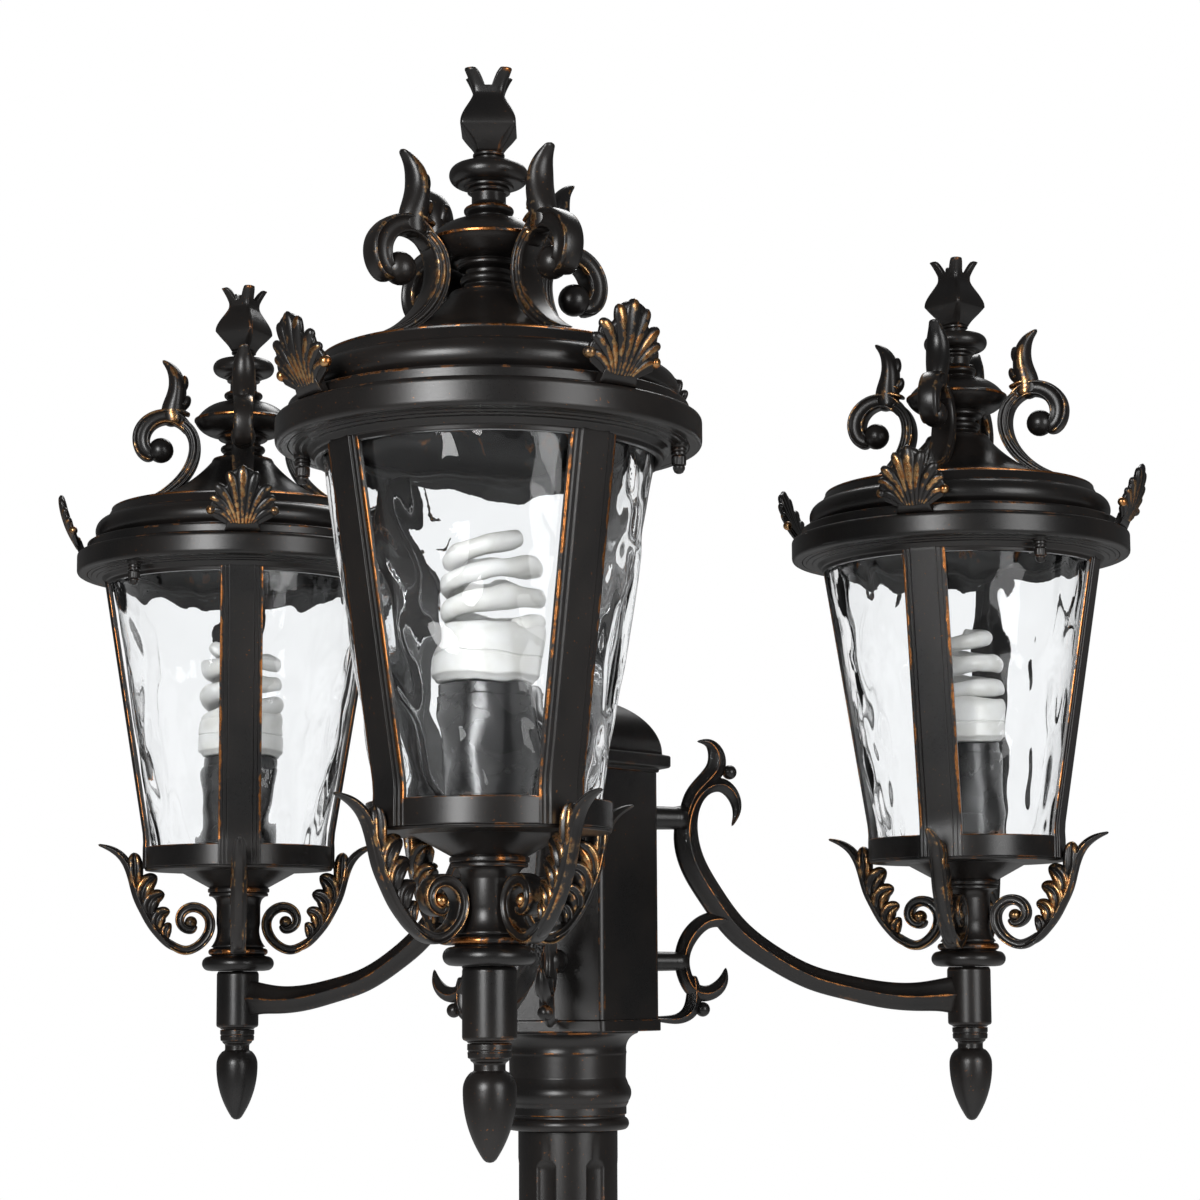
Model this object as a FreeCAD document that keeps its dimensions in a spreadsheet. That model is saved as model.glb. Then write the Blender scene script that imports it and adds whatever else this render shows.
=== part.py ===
import FreeCAD, Part
import math
import os
import Sketcher
from types import SimpleNamespace
from FreeCAD import Placement, Rotation, Vector

os.makedirs("parts", exist_ok=True)
doc = FreeCAD.newDocument("PostLight")

# A post light with three lanterns on scroll arms, in millimetres.
# The origin is the middle of the base's underside. The front arm points along -Y.
# Heights of a lantern's pieces are above its seat, the top of the sleeve at the end of its arm.
sizes = {
    # whole light
    "seat_height": 1660,
    "arm_reach": 355,
    "fit_gap": 0.3,
    # base and post
    "base_radius": 145,
    "base_thick": 14,
    "bell_radius": 92,
    "bell_waist": 56,
    "bell_height": 90,
    "bead_radius": 60,
    "bead_height": 16,
    "bead_inset": 3,
    "post_seat": 20,
    "cable_radius": 30,
    "anchor_circle_radius": 115,
    "anchor_hole_radius": 7,
    "post_radius": 38,
    "post_wall": 6,
    "flute_width": 15.4,
    "flute_depth": 3,
    "flute_gap": 21,
    "flute_turn": 11.7,
    "set_screw_radius": 4,
    # collar under the hub
    "collar_height": 65,
    "collar_flare": 54.5,
    "collar_neck": 45,
    "collar_bulge": 48.7,
    "collar_ring": 46.8,
    "ring_height": 9.5,
    "collar_bore": 26,
    "spigot_length": 60,
    # hexagonal hub, measured from its centre to a flat
    "hub_flat": 61.5,
    "hub_height": 198,
    "hub_drop": 48,
    "hub_wall": 4,
    "hub_floor": 6,
    "skirt_height": 8.7,
    "skirt_proud": 1.6,
    "cap_thick": 13.4,
    "cap_overhang": 9.5,
    "cap_lip": 6,
    "dome_flat": 65.4,
    "dome_rise": 47,
    # arms
    "sleeve_radius": 17.7,
    "sleeve_height": 49,
    "arm_depth": 15,
    "upper_stub": 9.5,
    "lower_stub": 7.8,
    "stub_length": 38,
    "ball_radius": 5.8,
    "arm_screw": 3,
    "screw_head": 5.5,
    "head_thick": 4,
    "screw_bite": 14,
    "screw_play": 0.03,
    # stem through each lantern
    "stem_radius": 5,
    "stem_gap": 0.2,
    "stem_wall": 1.5,
    "stem_low": 60,
    "stem_grip": 12,
    # drop finial under the sleeve
    "drop_ring": 14.4,
    "drop_ring_height": 10.5,
    "drop_neck": 10.5,
    "drop_neck_height": 8,
    "acorn_radius": 17.3,
    "acorn_height": 57,
    # cup under each lantern
    "bead_foot": 25,
    "bead_bulge": 5.5,
    "cup_bead_height": 14,
    "column_foot": 18,
    "waist_radius": 18.5,
    "waist_low": 40,
    "waist_high": 60,
    "neck_radius": 26,
    "neck_low": 65,
    "neck_high": 70,
    "funnel_radius": 79.5,
    "shoulder_radius": 50,
    "shoulder_thick": 2.5,
    "band_low": 87,
    "dish_depth": 7,
    "dish_radius": 33,
    "dish_mouth": 42,
    # cage of bars and bands that holds the panes
    "band_radius": 80,
    "band_height": 18,
    "cage_low_radius": 78.4,
    "cage_high_radius": 116,
    "cage_wall": 4,
    "cage_top": 337,
    "bar_width": 35,
    "head_band": 9,
    "window_round": 7,
    "flange_radius": 131,
    "flange_thick": 5,
    "pane_thick": 3,
    "pane_span": 84,
    # roof
    "rim_radius": 140,
    "rim_height": 22,
    "rim_chamfer": 3,
    "rim_break": 1.5,
    "step_radius": 132,
    "step_height": 9,
    "moulding_radius": 125,
    "moulding_lip": 112,
    "moulding_height": 32,
    "trumpet_radius": 88,
    "trumpet_low": 411,
    "trumpet_high": 437,
    "trumpet_top": 41,
    "trumpet_sag": 4.5,
    "roof_top": 440,
    "roof_wall": 4,
    "rim_wall": 22,
    "stud_circle": 125,
    "stud_radius": 2.5,
    "stud_bite": 8,
    "boss_radius": 5.5,
    "boss_height": 8,
    "nut_radius": 4.9,
    "nut_height": 12,
    # finial
    "finial_neck": 20,
    "bowl_low": 463,
    "bowl_foot": 24,
    "bowl_radius": 42,
    "bowl_edge": 479,
    "dome_top": 494,
    "flare_radius": 18.5,
    "flare_top": 503,
    "shaft_radius": 13,
    "disc_low": 510,
    "disc_radius": 27,
    "disc_high": 529,
    "bud_neck": 10,
    "bud_low": 535,
    "bud_wide": 549.5,
    "bud_high": 573,
    "bud_side": 38.7,
    "crown_side": 23.6,
    "crown_spread": 32,
    "crown_notch": 581,
    "crown_top": 592,
    "spigot_radius": 5,
    "spigot_depth": 6,
    # ornament plates
    "bracket_thick": 13,
    "scroll_thick": 15,
    "palmette_thick": 6.5,
    "palmette_lean": 21,
    "palmette_base": 32,
    "palmette_plinth": 11,
    # lampholder and lamp
    "cover_radius": 31,
    "cover_wall": 2.2,
    "cover_top": 182,
    "holder_radius": 19,
    "holder_lift": 12,
    "socket_radius": 13.7,
    "socket_depth": 31,
    "cap_gap": 0.5,
    "ballast_radius": 36,
    "ballast_height": 38,
    "coil_radius": 27,
    "tube_radius": 7,
    "coil_pitch": 19.5,
    "coil_turns": 3.15,
}
arms = (("front", 0), ("right", 120), ("left", -120))
finial_turn = {"front": 8, "right": 22, "left": 14}
flutes = 6
anchors = 4
set_screws = 3
panes = 4
corner_cut = 0.14  # corner cut of the bud, as a share of its side
half_turn_sine = 0.707107  # sine and cosine of an eighth of a turn
hex_ratio = 0.8660254  # flat to corner of a hexagon

sheet = doc.addObject("Spreadsheet::Sheet", "Sizes")
for row, (alias, number) in enumerate(sizes.items(), start=1):
    sheet.set(f"A{row}", alias)
    sheet.set(f"B{row}", str(number))
    sheet.setAlias(f"B{row}", alias)
doc.recompute()


class Dim:
    """A length that knows its formula in the sheet and its value."""

    def __init__(self, text, value):
        self.text = text
        self.value = float(value)

    def __add__(self, other):
        return join(self, "+", other, lambda a, b: a + b)

    def __radd__(self, other):
        return join(other, "+", self, lambda a, b: a + b)

    def __sub__(self, other):
        return join(self, "-", other, lambda a, b: a - b)

    def __rsub__(self, other):
        return join(other, "-", self, lambda a, b: a - b)

    def __mul__(self, other):
        return join(self, "*", other, lambda a, b: a * b)

    def __rmul__(self, other):
        return join(other, "*", self, lambda a, b: a * b)

    def __truediv__(self, other):
        return join(self, "/", other, lambda a, b: a / b)

    def __neg__(self):
        return join(0, "-", self, lambda a, b: a - b)

    def __float__(self):
        return self.value


def dim(number):
    return number if isinstance(number, Dim) else Dim(f"{float(number):.9f}", number)


def join(left, sign, right, work):
    left, right = dim(left), dim(right)
    return Dim(f"({left.text} {sign} {right.text})", work(left.value, right.value))


size = SimpleNamespace(**{alias: Dim(f"Sizes.{alias}", sheet.get(alias)) for alias in sizes})
plain = SimpleNamespace(**{alias: float(sheet.get(alias)) for alias in sizes})
nodes = []


class Bow:
    """An arc to (x, y) that stands off its chord by rise, to the right of the way it runs."""

    def __init__(self, x, y, rise):
        self.x, self.y, self.rise = dim(x), dim(y), dim(rise)


def sketch_on(body, role, name):
    """An empty sketch on one of the body's own origin planes."""
    sketch = body.newObject("Sketcher::SketchObject", name)
    plane = next(f for f in body.Origin.OriginFeatures if f.Role == role)
    sketch.AttachmentSupport = (plane, [""])
    sketch.MapMode = "FlatFace"
    return sketch


def bind(sketch, constraint, length):
    sketch.setExpression(f"Constraints[{sketch.addConstraint(constraint)}]", length.text)


def pin_point(sketch, geometry, end, x, y):
    """Holds a point of the sketch at (x, y) from the sketch's origin."""
    for way, length, axis in (("DistanceX", x, -2), ("DistanceY", y, -1)):
        if abs(length.value) < 1e-9:
            sketch.addConstraint(Sketcher.Constraint("PointOnObject", geometry, end, axis))
        elif length.value > 0:
            bind(sketch, Sketcher.Constraint(way, -1, 1, geometry, end, length.value), length)
        else:
            bind(sketch, Sketcher.Constraint(way, geometry, end, -1, 1, -length.value), -length)


def outline(sketch, *steps):
    """A closed outline through points (x, y) and Bow arcs, each corner bound to the sheet."""
    stops = [s if isinstance(s, Bow) else (dim(s[0]), dim(s[1])) for s in steps]
    spots = [(s.x, s.y) if isinstance(s, Bow) else s for s in stops]
    ends = []
    for i, stop in enumerate(stops):
        (ax, ay), (bx, by) = spots[i - 1], spots[i]
        start, finish = Vector(ax.value, ay.value, 0), Vector(bx.value, by.value, 0)
        if isinstance(stop, Bow):
            chord = finish - start
            right = Vector(chord.y, -chord.x, 0).normalize()
            middle = (start + finish) * 0.5 + right * stop.rise.value
            ahead = stop.rise.value > 0
            arc = Part.Arc(start, middle, finish) if ahead else Part.Arc(finish, middle, start)
            line = sketch.addGeometry(arc)
            square = (bx - ax) * (bx - ax) + (by - ay) * (by - ay)
            rise = stop.rise if stop.rise.value > 0 else -stop.rise
            radius = square / (8 * rise) + rise / 2
            bind(sketch, Sketcher.Constraint("Radius", line, radius.value), radius)
        else:
            line = sketch.addGeometry(Part.LineSegment(start, finish))
            ahead = True
        ends.append((line, 1 if ahead else 2, 2 if ahead else 1))
    for i, (line, first, last) in enumerate(ends):
        before, _, tail = ends[i - 1]
        sketch.addConstraint(Sketcher.Constraint("Coincident", before, tail, line, first))
        pin_point(sketch, line, last, *spots[i])


def turned(label, *steps):
    """A turned piece: the outline in the plane of its axis, swept round +Z."""
    body = doc.addObject("PartDesign::Body", label)
    sketch = sketch_on(body, "XZ_Plane", f"{label}_profile")
    outline(sketch, *steps)
    feature = body.newObject("PartDesign::Revolution", f"{label}_turned")
    feature.Profile = sketch
    feature.ReferenceAxis = (sketch, ["V_Axis"])
    feature.Angle = 360
    doc.recompute()
    if body.Shape.isNull() or body.Shape.Volume <= 0:
        raise RuntimeError(f"{label} has no solid, its sketch is {sketch.State}")
    return body


def cut_through(body, role, name, draw, far=None, away=False):
    """A pocket drawn on an origin plane: right through both ways, or one way to a depth."""
    sketch = sketch_on(body, role, f"{name}_sketch")
    draw(sketch)
    before = body.Shape.Volume
    pocket = body.newObject("PartDesign::Pocket", name)
    pocket.Profile = sketch
    if far is None:
        pocket.Type = "ThroughAll"
        pocket.Midplane = True
    else:
        pocket.Type = "Length"
        pocket.setExpression("Length", far.text)
        pocket.Reversed = away
    doc.recompute()
    if body.Shape.Volume >= before - 1e-6:
        raise RuntimeError(f"{name} cuts nothing")
    return pocket


def round_hole(x, y, radius):
    """Draws a circle at (x, y) of a sketch, bound to the sheet."""

    def draw(sketch):
        circle = sketch.addGeometry(
            Part.Circle(Vector(dim(x).value, dim(y).value, 0), Vector(0, 0, 1), dim(radius).value)
        )
        bind(sketch, Sketcher.Constraint("Radius", circle, dim(radius).value), dim(radius))
        pin_point(sketch, circle, 3, dim(x), dim(y))

    return draw


def around(body, name, feature, count):
    """Repeats a feature evenly round the body's Z axis."""
    axis = next(f for f in body.Origin.OriginFeatures if f.Role == "Z_Axis")
    pattern = body.newObject("PartDesign::PolarPattern", name)
    pattern.Originals = [feature]
    pattern.Axis = (axis, [""])
    pattern.Angle = 360
    pattern.Occurrences = count
    body.Tip = pattern
    doc.recompute()


def computed(label, shape):
    """A piece whose shape is worked out from the sheet's values."""
    piece = doc.addObject("Part::Feature", label)
    piece.Shape = shape
    return piece


def keep(piece):
    nodes.append(piece)
    return piece


def on_arms(piece, name, at_seat=True, turns=None):
    """Sets the piece on the front arm and links it to the other two, about its seat or about the post."""
    for side, turn in arms:
        copy = piece if turn == 0 else doc.addObject("App::Link", f"{name}_{side}")
        if turn:
            copy.LinkedObject = piece
        own_turn = turns[side] if turns else 0
        copy.Placement = Placement(Vector(), Rotation(Vector(0, 0, 1), turn + own_turn))
        copy.setExpression("Placement.Base.z", "Sizes.seat_height")
        if at_seat:
            copy.setExpression("Placement.Base.x", f"Sizes.arm_reach * sin({turn})")
            copy.setExpression("Placement.Base.y", f"-Sizes.arm_reach * cos({turn})")
        copy.Label = f"{name}_{side}"
        keep(copy)


def spun(shape, count, first=0.0):
    """Copies of a shape spaced evenly round the Z axis, as one group."""
    group = []
    for i in range(count):
        copy = shape.copy()
        copy.rotate(Vector(), Vector(0, 0, 1), first + 360.0 * i / count)
        group.append(copy)
    return Part.makeCompound(group)


def curve_through(points):
    curve = Part.BSplineCurve()
    curve.interpolate(points)
    return curve


def stations(marks):
    """Evenly spaced places along points (x, z, width): point, direction, normal in XZ and width."""
    points = [Vector(x, 0, z) for x, z, _ in marks]
    spine = curve_through(points)
    knots = [spine.parameter(point) for point in points]
    for spot in spine.discretize(Number=2 * len(points) + 1):
        here = spine.parameter(spot)
        along = spine.tangent(here)[0]
        i = max(k for k in range(len(knots) - 1) if knots[k] <= here or k == 0)
        share = (here - knots[i]) / (knots[i + 1] - knots[i])
        width = marks[i][2] + share * (marks[i + 1][2] - marks[i][2])
        yield spot, along, Vector(-along.z, 0, along.x), width


def stroke(marks):
    """A flat face in XZ along points (x, z, width), with round ends."""
    rows = list(stations(marks))
    left = [p + n * (w / 2) for p, _, n, w in rows]
    right = [p - n * (w / 2) for p, _, n, w in rows]
    (first, way_in, _, tail_width), (last, way_out, _, tip_width) = rows[0], rows[-1]
    edges = [
        curve_through(left).toShape(),
        Part.Arc(left[-1], last + way_out * (tip_width / 2), right[-1]).toShape(),
        curve_through(right[::-1]).toShape(),
        Part.Arc(right[0], first - way_in * (tail_width / 2), left[0]).toShape(),
    ]
    return Part.Face(Part.Wire(edges))


def disc(x, z, radius):
    return Part.Face(Part.Wire(Part.makeCircle(radius, Vector(x, 0, z), Vector(0, 1, 0))))


def patch(*corners):
    points = [Vector(x, 0, z) for x, z in corners]
    return Part.Face(Part.makePolygon(points + points[:1]))


def one_solid(shapes):
    fused = shapes[0].multiFuse(shapes[1:])
    if len(fused.Solids) != 1:
        raise RuntimeError("the pieces of a casting don't join")
    return fused.Solids[0]


def biggest(shape):
    return max(shape.Solids, key=lambda solid: solid.Volume)


def plate(faces, thick):
    """One flat casting from overlapping faces in XZ, thick along Y and centred on the plane."""
    solid = one_solid([face.extrude(Vector(0, thick, 0)) for face in faces]).removeSplitter()
    solid.translate(Vector(0, -thick / 2, 0))
    return solid


def ridged_bar(marks, depth):
    """A bar of lozenge section along points (x, z, height): sharp ridges mid-side, above and below."""
    sections = []
    for point, _, normal, tall in stations(marks):
        across = Vector(0, min(depth, tall) / 2, 0)
        up = normal * (tall / 2)
        corners = [point + up, point + across, point - up, point - across]
        sections.append(Part.makePolygon(corners + corners[:1]))
    return Part.makeLoft(sections, True, False)


# Heights that several pieces share, on the post and then in a lantern
hub_low = size.seat_height - size.hub_drop
hub_high = hub_low + size.hub_height
collar_low = hub_low - size.collar_height
post_high = collar_low - size.ring_height
post_bore = size.post_radius - size.post_wall
bead_high = size.base_thick + size.bell_height + size.bead_height
screw_level = bead_high - size.bead_height / 2
dish_floor = size.band_low - size.dish_depth
holder_low = dish_floor + size.holder_lift
upper_level = 0.834  # share of the hub's height where the upper stub of an arm meets it
lower_level = 0.268


def make_base():
    """Plain flared base: flat plate with anchor holes, bell and socket for the post."""
    socket = size.post_radius + size.fit_gap
    body = turned(
        "post_base",
        (size.cable_radius, 0),
        (size.base_radius, 0),
        (size.base_radius, size.base_thick),
        (size.bell_radius, size.base_thick),
        Bow(size.bell_waist, size.base_thick + size.bell_height, -0.2 * size.bell_height),
        (size.bead_radius - size.bead_inset, size.base_thick + size.bell_height),
        Bow(size.bead_radius - size.bead_inset, bead_high, size.bead_inset),
        (socket, bead_high),
        (socket, size.post_seat),
        (size.cable_radius, size.post_seat),
    )
    diagonal = half_turn_sine * size.anchor_circle_radius
    hole = round_hole(diagonal, diagonal, size.anchor_hole_radius)
    bored = cut_through(body, "XY_Plane", "anchor_hole", hole, size.base_thick * 2, True)
    around(body, "anchor_holes", bored, anchors)
    hole = round_hole(0, screw_level, size.set_screw_radius + size.fit_gap)
    bored = cut_through(body, "XZ_Plane", "set_screw_hole", hole, size.base_radius, True)
    around(body, "set_screw_holes", bored, set_screws)
    keep(body)


def make_set_screws():
    """Three grub screws in the base's bead that bear on the post."""
    reach = plain.bead_radius - plain.post_radius
    tip = Vector(0, -plain.post_radius, screw_level.value)
    screw = Part.makeCylinder(plain.set_screw_radius, reach, tip, Vector(0, -1, 0))
    keep(computed("base_set_screws", spun(screw, set_screws)))


def make_post():
    """Round tube with six shallow flutes that end in round tops."""
    body = turned(
        "post",
        (post_bore, size.post_seat),
        (size.post_radius, size.post_seat),
        (size.post_radius, post_high),
        (post_bore, post_high),
    )
    half = size.flute_width / 2
    cutter = half * half / (2 * size.flute_depth) + size.flute_depth / 2
    middle = size.post_radius - size.flute_depth + cutter
    low = bead_high + size.flute_gap + cutter
    high = post_high - size.flute_gap - half
    quarter_rise = 1 - half_turn_sine
    sketch = sketch_on(body, "XZ_Plane", "flute_profile")
    outline(
        sketch,
        (middle, low - cutter),
        Bow(middle - cutter, low, -quarter_rise * cutter),
        (middle - cutter, high),
        Bow(middle, high + cutter, -quarter_rise * cutter),
    )
    axis = sketch.addGeometry(
        Part.LineSegment(Vector(middle.value, low.value, 0), Vector(middle.value, high.value, 0)), True
    )
    pin_point(sketch, axis, 1, middle, low)
    pin_point(sketch, axis, 2, middle, high)
    before = body.Shape.Volume
    groove = body.newObject("PartDesign::Groove", "flute")
    groove.Profile = sketch
    groove.ReferenceAxis = (sketch, ["Axis0"])
    groove.Angle = 360
    doc.recompute()
    if body.Shape.Volume >= before:
        raise RuntimeError("the flute cuts nothing")
    around(body, "flutes", groove, flutes)
    body.Placement.Rotation = Rotation(Vector(0, 0, 1), plain.flute_turn)
    body.setExpression("Placement.Rotation.Angle", "Sizes.flute_turn")
    keep(body)


def make_collar():
    """Turned collar between hub and post: flare, neck, bulge, step and ring, with a spigot in the post."""
    spigot = post_bore - size.fit_gap
    step = size.collar_height / 8
    keep(turned(
        "post_collar",
        (size.collar_bore, post_high - size.spigot_length),
        (spigot, post_high - size.spigot_length),
        (spigot, post_high),
        (size.collar_ring - 1, post_high),
        Bow(size.collar_ring - 1, collar_low, 0.25 * size.ring_height),
        (size.collar_neck, collar_low),
        (size.collar_neck, collar_low + step),
        (size.collar_bulge - 2, collar_low + 1.4 * step),
        Bow(size.collar_bulge - 2, collar_low + 3 * step, 2),
        (size.collar_neck, collar_low + 3.6 * step),
        (size.collar_neck, collar_low + 6 * step),
        Bow(size.collar_flare, hub_low, -0.5 * step),
        (size.collar_bore, hub_low),
    ))


def hexagon(flat):
    """Corners of a hexagon with flats towards the arms."""
    radius = flat / hex_ratio
    half = radius / 2
    return [(radius, 0), (half, flat), (-half, flat), (-radius, 0), (-half, -flat), (half, -flat)]


def padded(body, name, flat, low, high):
    """A hexagonal block between two levels."""
    sketch = sketch_on(body, "XY_Plane", f"{name}_sketch")
    sketch.setExpression("AttachmentOffset.Base.z", low.text)
    outline(sketch, *hexagon(flat))
    pad = body.newObject("PartDesign::Pad", name)
    pad.Profile = sketch
    pad.setExpression("Length", (high - low).text)
    doc.recompute()
    return pad


def hollowed(body, name, flat, low, high):
    """A hexagonal pocket between two levels."""
    sketch = sketch_on(body, "XY_Plane", f"{name}_sketch")
    sketch.setExpression("AttachmentOffset.Base.z", low.text)
    outline(sketch, *hexagon(flat))
    before = body.Shape.Volume
    pocket = body.newObject("PartDesign::Pocket", name)
    pocket.Profile = sketch
    pocket.setExpression("Length", (high - low).text)
    pocket.Reversed = True
    doc.recompute()
    if body.Shape.Volume >= before:
        raise RuntimeError(f"{name} cuts nothing")


def make_hub():
    """Hexagonal box with a skirt at its foot, open at the top, drilled for the arms' screws."""
    body = doc.addObject("PartDesign::Body", "hub_box")
    padded(body, "hub_wall", size.hub_flat, hub_low, hub_high)
    padded(body, "hub_skirt", size.hub_flat + size.skirt_proud, hub_low, hub_low + size.skirt_height)
    hollowed(body, "hub_hollow", size.hub_flat - size.hub_wall, hub_low + size.hub_floor, hub_high)
    cable = round_hole(0, 0, size.collar_bore - size.hub_wall)
    cut_through(body, "XY_Plane", "cable_hole", cable, hub_low + size.hub_floor + 1, True)
    for name, share in (("upper_hole", upper_level), ("lower_hole", lower_level)):
        hole = round_hole(0, hub_low + share * size.hub_height, size.arm_screw + size.fit_gap)
        bored = cut_through(body, "XZ_Plane", name, hole, size.hub_flat * 1.5, True)
        around(body, f"{name}s", bored, len(arms))
    keep(body)


def hex_wire(flat, level):
    corners = [Vector(x, y, level) for x, y in hexagon(flat)]
    return Part.makePolygon(corners + corners[:1])


def make_hub_cap():
    """Hexagonal flange with a hexagonal dome on it and a lip that drops into the box."""
    level = hub_high.value
    shelf = level + plain.cap_thick

    def prism(flat, low, high):
        return Part.Face(hex_wire(flat, low)).extrude(Vector(0, 0, high - low))

    arch = [math.radians(angle) for angle in (0, 15, 30, 45, 60, 74, 86)]
    rings = [hex_wire(plain.dome_flat * math.cos(a), shelf + plain.dome_rise * math.sin(a)) for a in arch]
    dome = Part.makeLoft(rings, True, False)
    flange = prism(plain.hub_flat + plain.cap_overhang, level, shelf)
    lip = prism(plain.hub_flat - plain.hub_wall - plain.fit_gap, level - plain.cap_lip, level)
    keep(computed("hub_cap", one_solid([flange, dome, lip])))


def make_screws():
    """Six pan-head screws that hold the arms from inside the hub."""
    inner = plain.hub_flat - plain.hub_wall
    group = []
    for share in (upper_level, lower_level):
        level = (hub_low + share * size.hub_height).value
        head = Part.makeCylinder(plain.screw_head, plain.head_thick,
                                 Vector(0, plain.head_thick - inner, level), Vector(0, -1, 0))
        shank = Part.makeCylinder(plain.arm_screw, plain.hub_wall + plain.screw_bite,
                                  Vector(0, -inner, level), Vector(0, -1, 0))
        group += spun(head.fuse(shank), len(arms)).Solids
    keep(computed("arm_screws", Part.makeCompound(group)))


# The scroll of an arm, drawn as (distance from the hub's face, height above the hub's foot, bar height).
# It is drawn for these two lengths. A longer arm has the same scrolls and a longer run to its sleeve.
drawn_reach = 275.8
drawn_height = 198.0
run_start = 113.0
main_bar = [
    (282, 25, 32), (268, 25, 26), (248, 24, 23), (216, 25.5, 21.5), (180, 32, 20), (150, 39.5, 19.5),
    (113, 57, 19.5), (83, 78, 21), (60, 106, 21.5), (44, 133, 23), (40, 156, 22), (47, 178, 15),
    (58, 189.5, 12), (72, 192.5, 12.5), (82, 184, 12), (84.5, 172, 9), (80, 159.5, 2),
]
top_leaf = [
    (38, 166, 12), (47, 184, 13), (59.5, 197, 16), (67.5, 207, 17.5), (66, 219, 16), (60, 226, 8.5),
    (50.5, 226, 1.6),
]
lower_bar = [
    (80, 84, 10), (59, 85, 12.5), (44, 74.5, 14), (36, 57.5, 12.5), (38.5, 40, 12), (47, 29.5, 13),
    (61, 29, 12.5), (71, 38, 9.5), (73.5, 48, 2),
]
tail_leaf = [(46, 34, 12), (45.5, 25, 15), (43, 16, 14), (35, 9.5, 10), (22, 8, 6.5), (2, 9.5, 3)]
upper_ball = (78.5, 202.5)
lower_ball = (53, 15.5)


def make_arm():
    """One casting: sleeve, scrolled bar, lower scroll, two leaves, two balls and two stubs to the hub."""
    reach = plain.arm_reach - plain.sleeve_radius - plain.hub_flat
    stretch = (reach - run_start) / (drawn_reach - run_start)
    rise = plain.hub_height / drawn_height

    def spot(x, z):
        run = min(x, run_start) + stretch * max(x - run_start, 0)
        return plain.hub_flat + run, z * rise - plain.hub_drop

    def place(marks):
        return [(*spot(x, z), tall) for x, z, tall in marks]

    shapes = [ridged_bar(place(marks), plain.arm_depth) for marks in (main_bar, lower_bar)]
    shapes += [ridged_bar(place(marks), plain.arm_depth * 0.8) for marks in (top_leaf, tail_leaf)]
    for x, z in (upper_ball, lower_ball):
        out, up = spot(x, z)
        shapes.append(Part.makeSphere(plain.ball_radius, Vector(out, 0, up)))
    for share, radius in ((upper_level, plain.upper_stub), (lower_level, plain.lower_stub)):
        level = share * plain.hub_height - plain.hub_drop
        foot = Vector(plain.hub_flat, 0, level)
        shapes.append(Part.makeCylinder(radius, plain.stub_length, foot, Vector(1, 0, 0)))
    sleeve = Part.makeCylinder(plain.sleeve_radius, plain.sleeve_height,
                               Vector(plain.arm_reach, 0, -plain.sleeve_height))
    solid = one_solid([sleeve] + shapes)
    bore = Part.makeCylinder(plain.stem_radius + plain.stem_gap, plain.sleeve_height,
                             Vector(plain.arm_reach, 0, -plain.sleeve_height))
    holes = [bore]
    for share in (upper_level, lower_level):
        level = share * plain.hub_height - plain.hub_drop
        holes.append(Part.makeCylinder(plain.arm_screw + plain.screw_play, plain.screw_bite + 1,
                                       Vector(plain.hub_flat, 0, level), Vector(1, 0, 0)))
    solid = solid.cut(Part.makeCompound(holes)).Solids[0]
    along_x = dict.fromkeys(("front", "right", "left"), -90)
    on_arms(computed("arm", solid), "arm", at_seat=False, turns=along_x)


def make_stem():
    """Threaded tube that clamps drop finial, sleeve, cup and lampholder together."""
    on_arms(turned(
        "stem",
        (size.stem_radius - size.stem_wall, -size.stem_low),
        (size.stem_radius, -size.stem_low),
        (size.stem_radius, holder_low + size.stem_grip),
        (size.stem_radius - size.stem_wall, holder_low + size.stem_grip),
    ), "stem")


def make_drop():
    """Drop finial: ring, neck and pointed acorn, screwed on the stem's lower end."""
    ring_low = -size.sleeve_height - size.drop_ring_height
    neck_low = ring_low - size.drop_neck_height
    belly = neck_low - 0.24 * size.acorn_height
    tip = neck_low - size.acorn_height
    grip = size.stem_radius + size.screw_play
    on_arms(turned(
        "drop_finial",
        (grip, -size.sleeve_height),
        (grip, -size.stem_low - 1),
        (0, -size.stem_low - 1),
        (0, tip),
        Bow(3, tip + 2.5, 0.8),
        Bow(size.acorn_radius, belly, 4.5),
        Bow(size.drop_neck + 1.5, neck_low, 2.2),
        Bow(size.drop_neck + 1, ring_low, -1.6),
        (size.drop_ring, ring_low + 2),
        (size.drop_ring, -size.sleeve_height),
    ), "drop_finial")


def make_cup():
    """Turned cup under the lantern: bead, column, neck ring, funnel and flat shoulder, dished on top."""
    bore = size.stem_radius + size.stem_gap
    on_arms(turned(
        "cup",
        (bore, 0),
        (size.bead_foot, 0),
        Bow(size.bead_foot, size.cup_bead_height, size.bead_bulge),
        (size.bead_foot, size.column_foot),
        Bow(size.waist_radius, size.waist_low, -3),
        (size.waist_radius, size.waist_high),
        Bow(size.neck_radius - 3, size.neck_low, -1),
        (size.neck_radius, size.neck_low),
        (size.neck_radius, size.neck_high),
        (size.neck_radius - 2, size.neck_high),
        (size.shoulder_radius, size.band_low - size.shoulder_thick),
        (size.funnel_radius, size.band_low - size.shoulder_thick),
        (size.funnel_radius, size.band_low),
        (size.dish_mouth, size.band_low),
        (size.dish_radius, dish_floor),
        (bore, dish_floor),
    ), "cup")


# The cage's wall leans outwards. This is its outer radius at a height above the band.
band_top = size.band_low + size.band_height
cage_lean = (size.cage_high_radius - size.cage_low_radius) / (size.cage_top - band_top)


def wall_radius(level):
    return size.cage_low_radius + cage_lean * (level - band_top)


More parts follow.
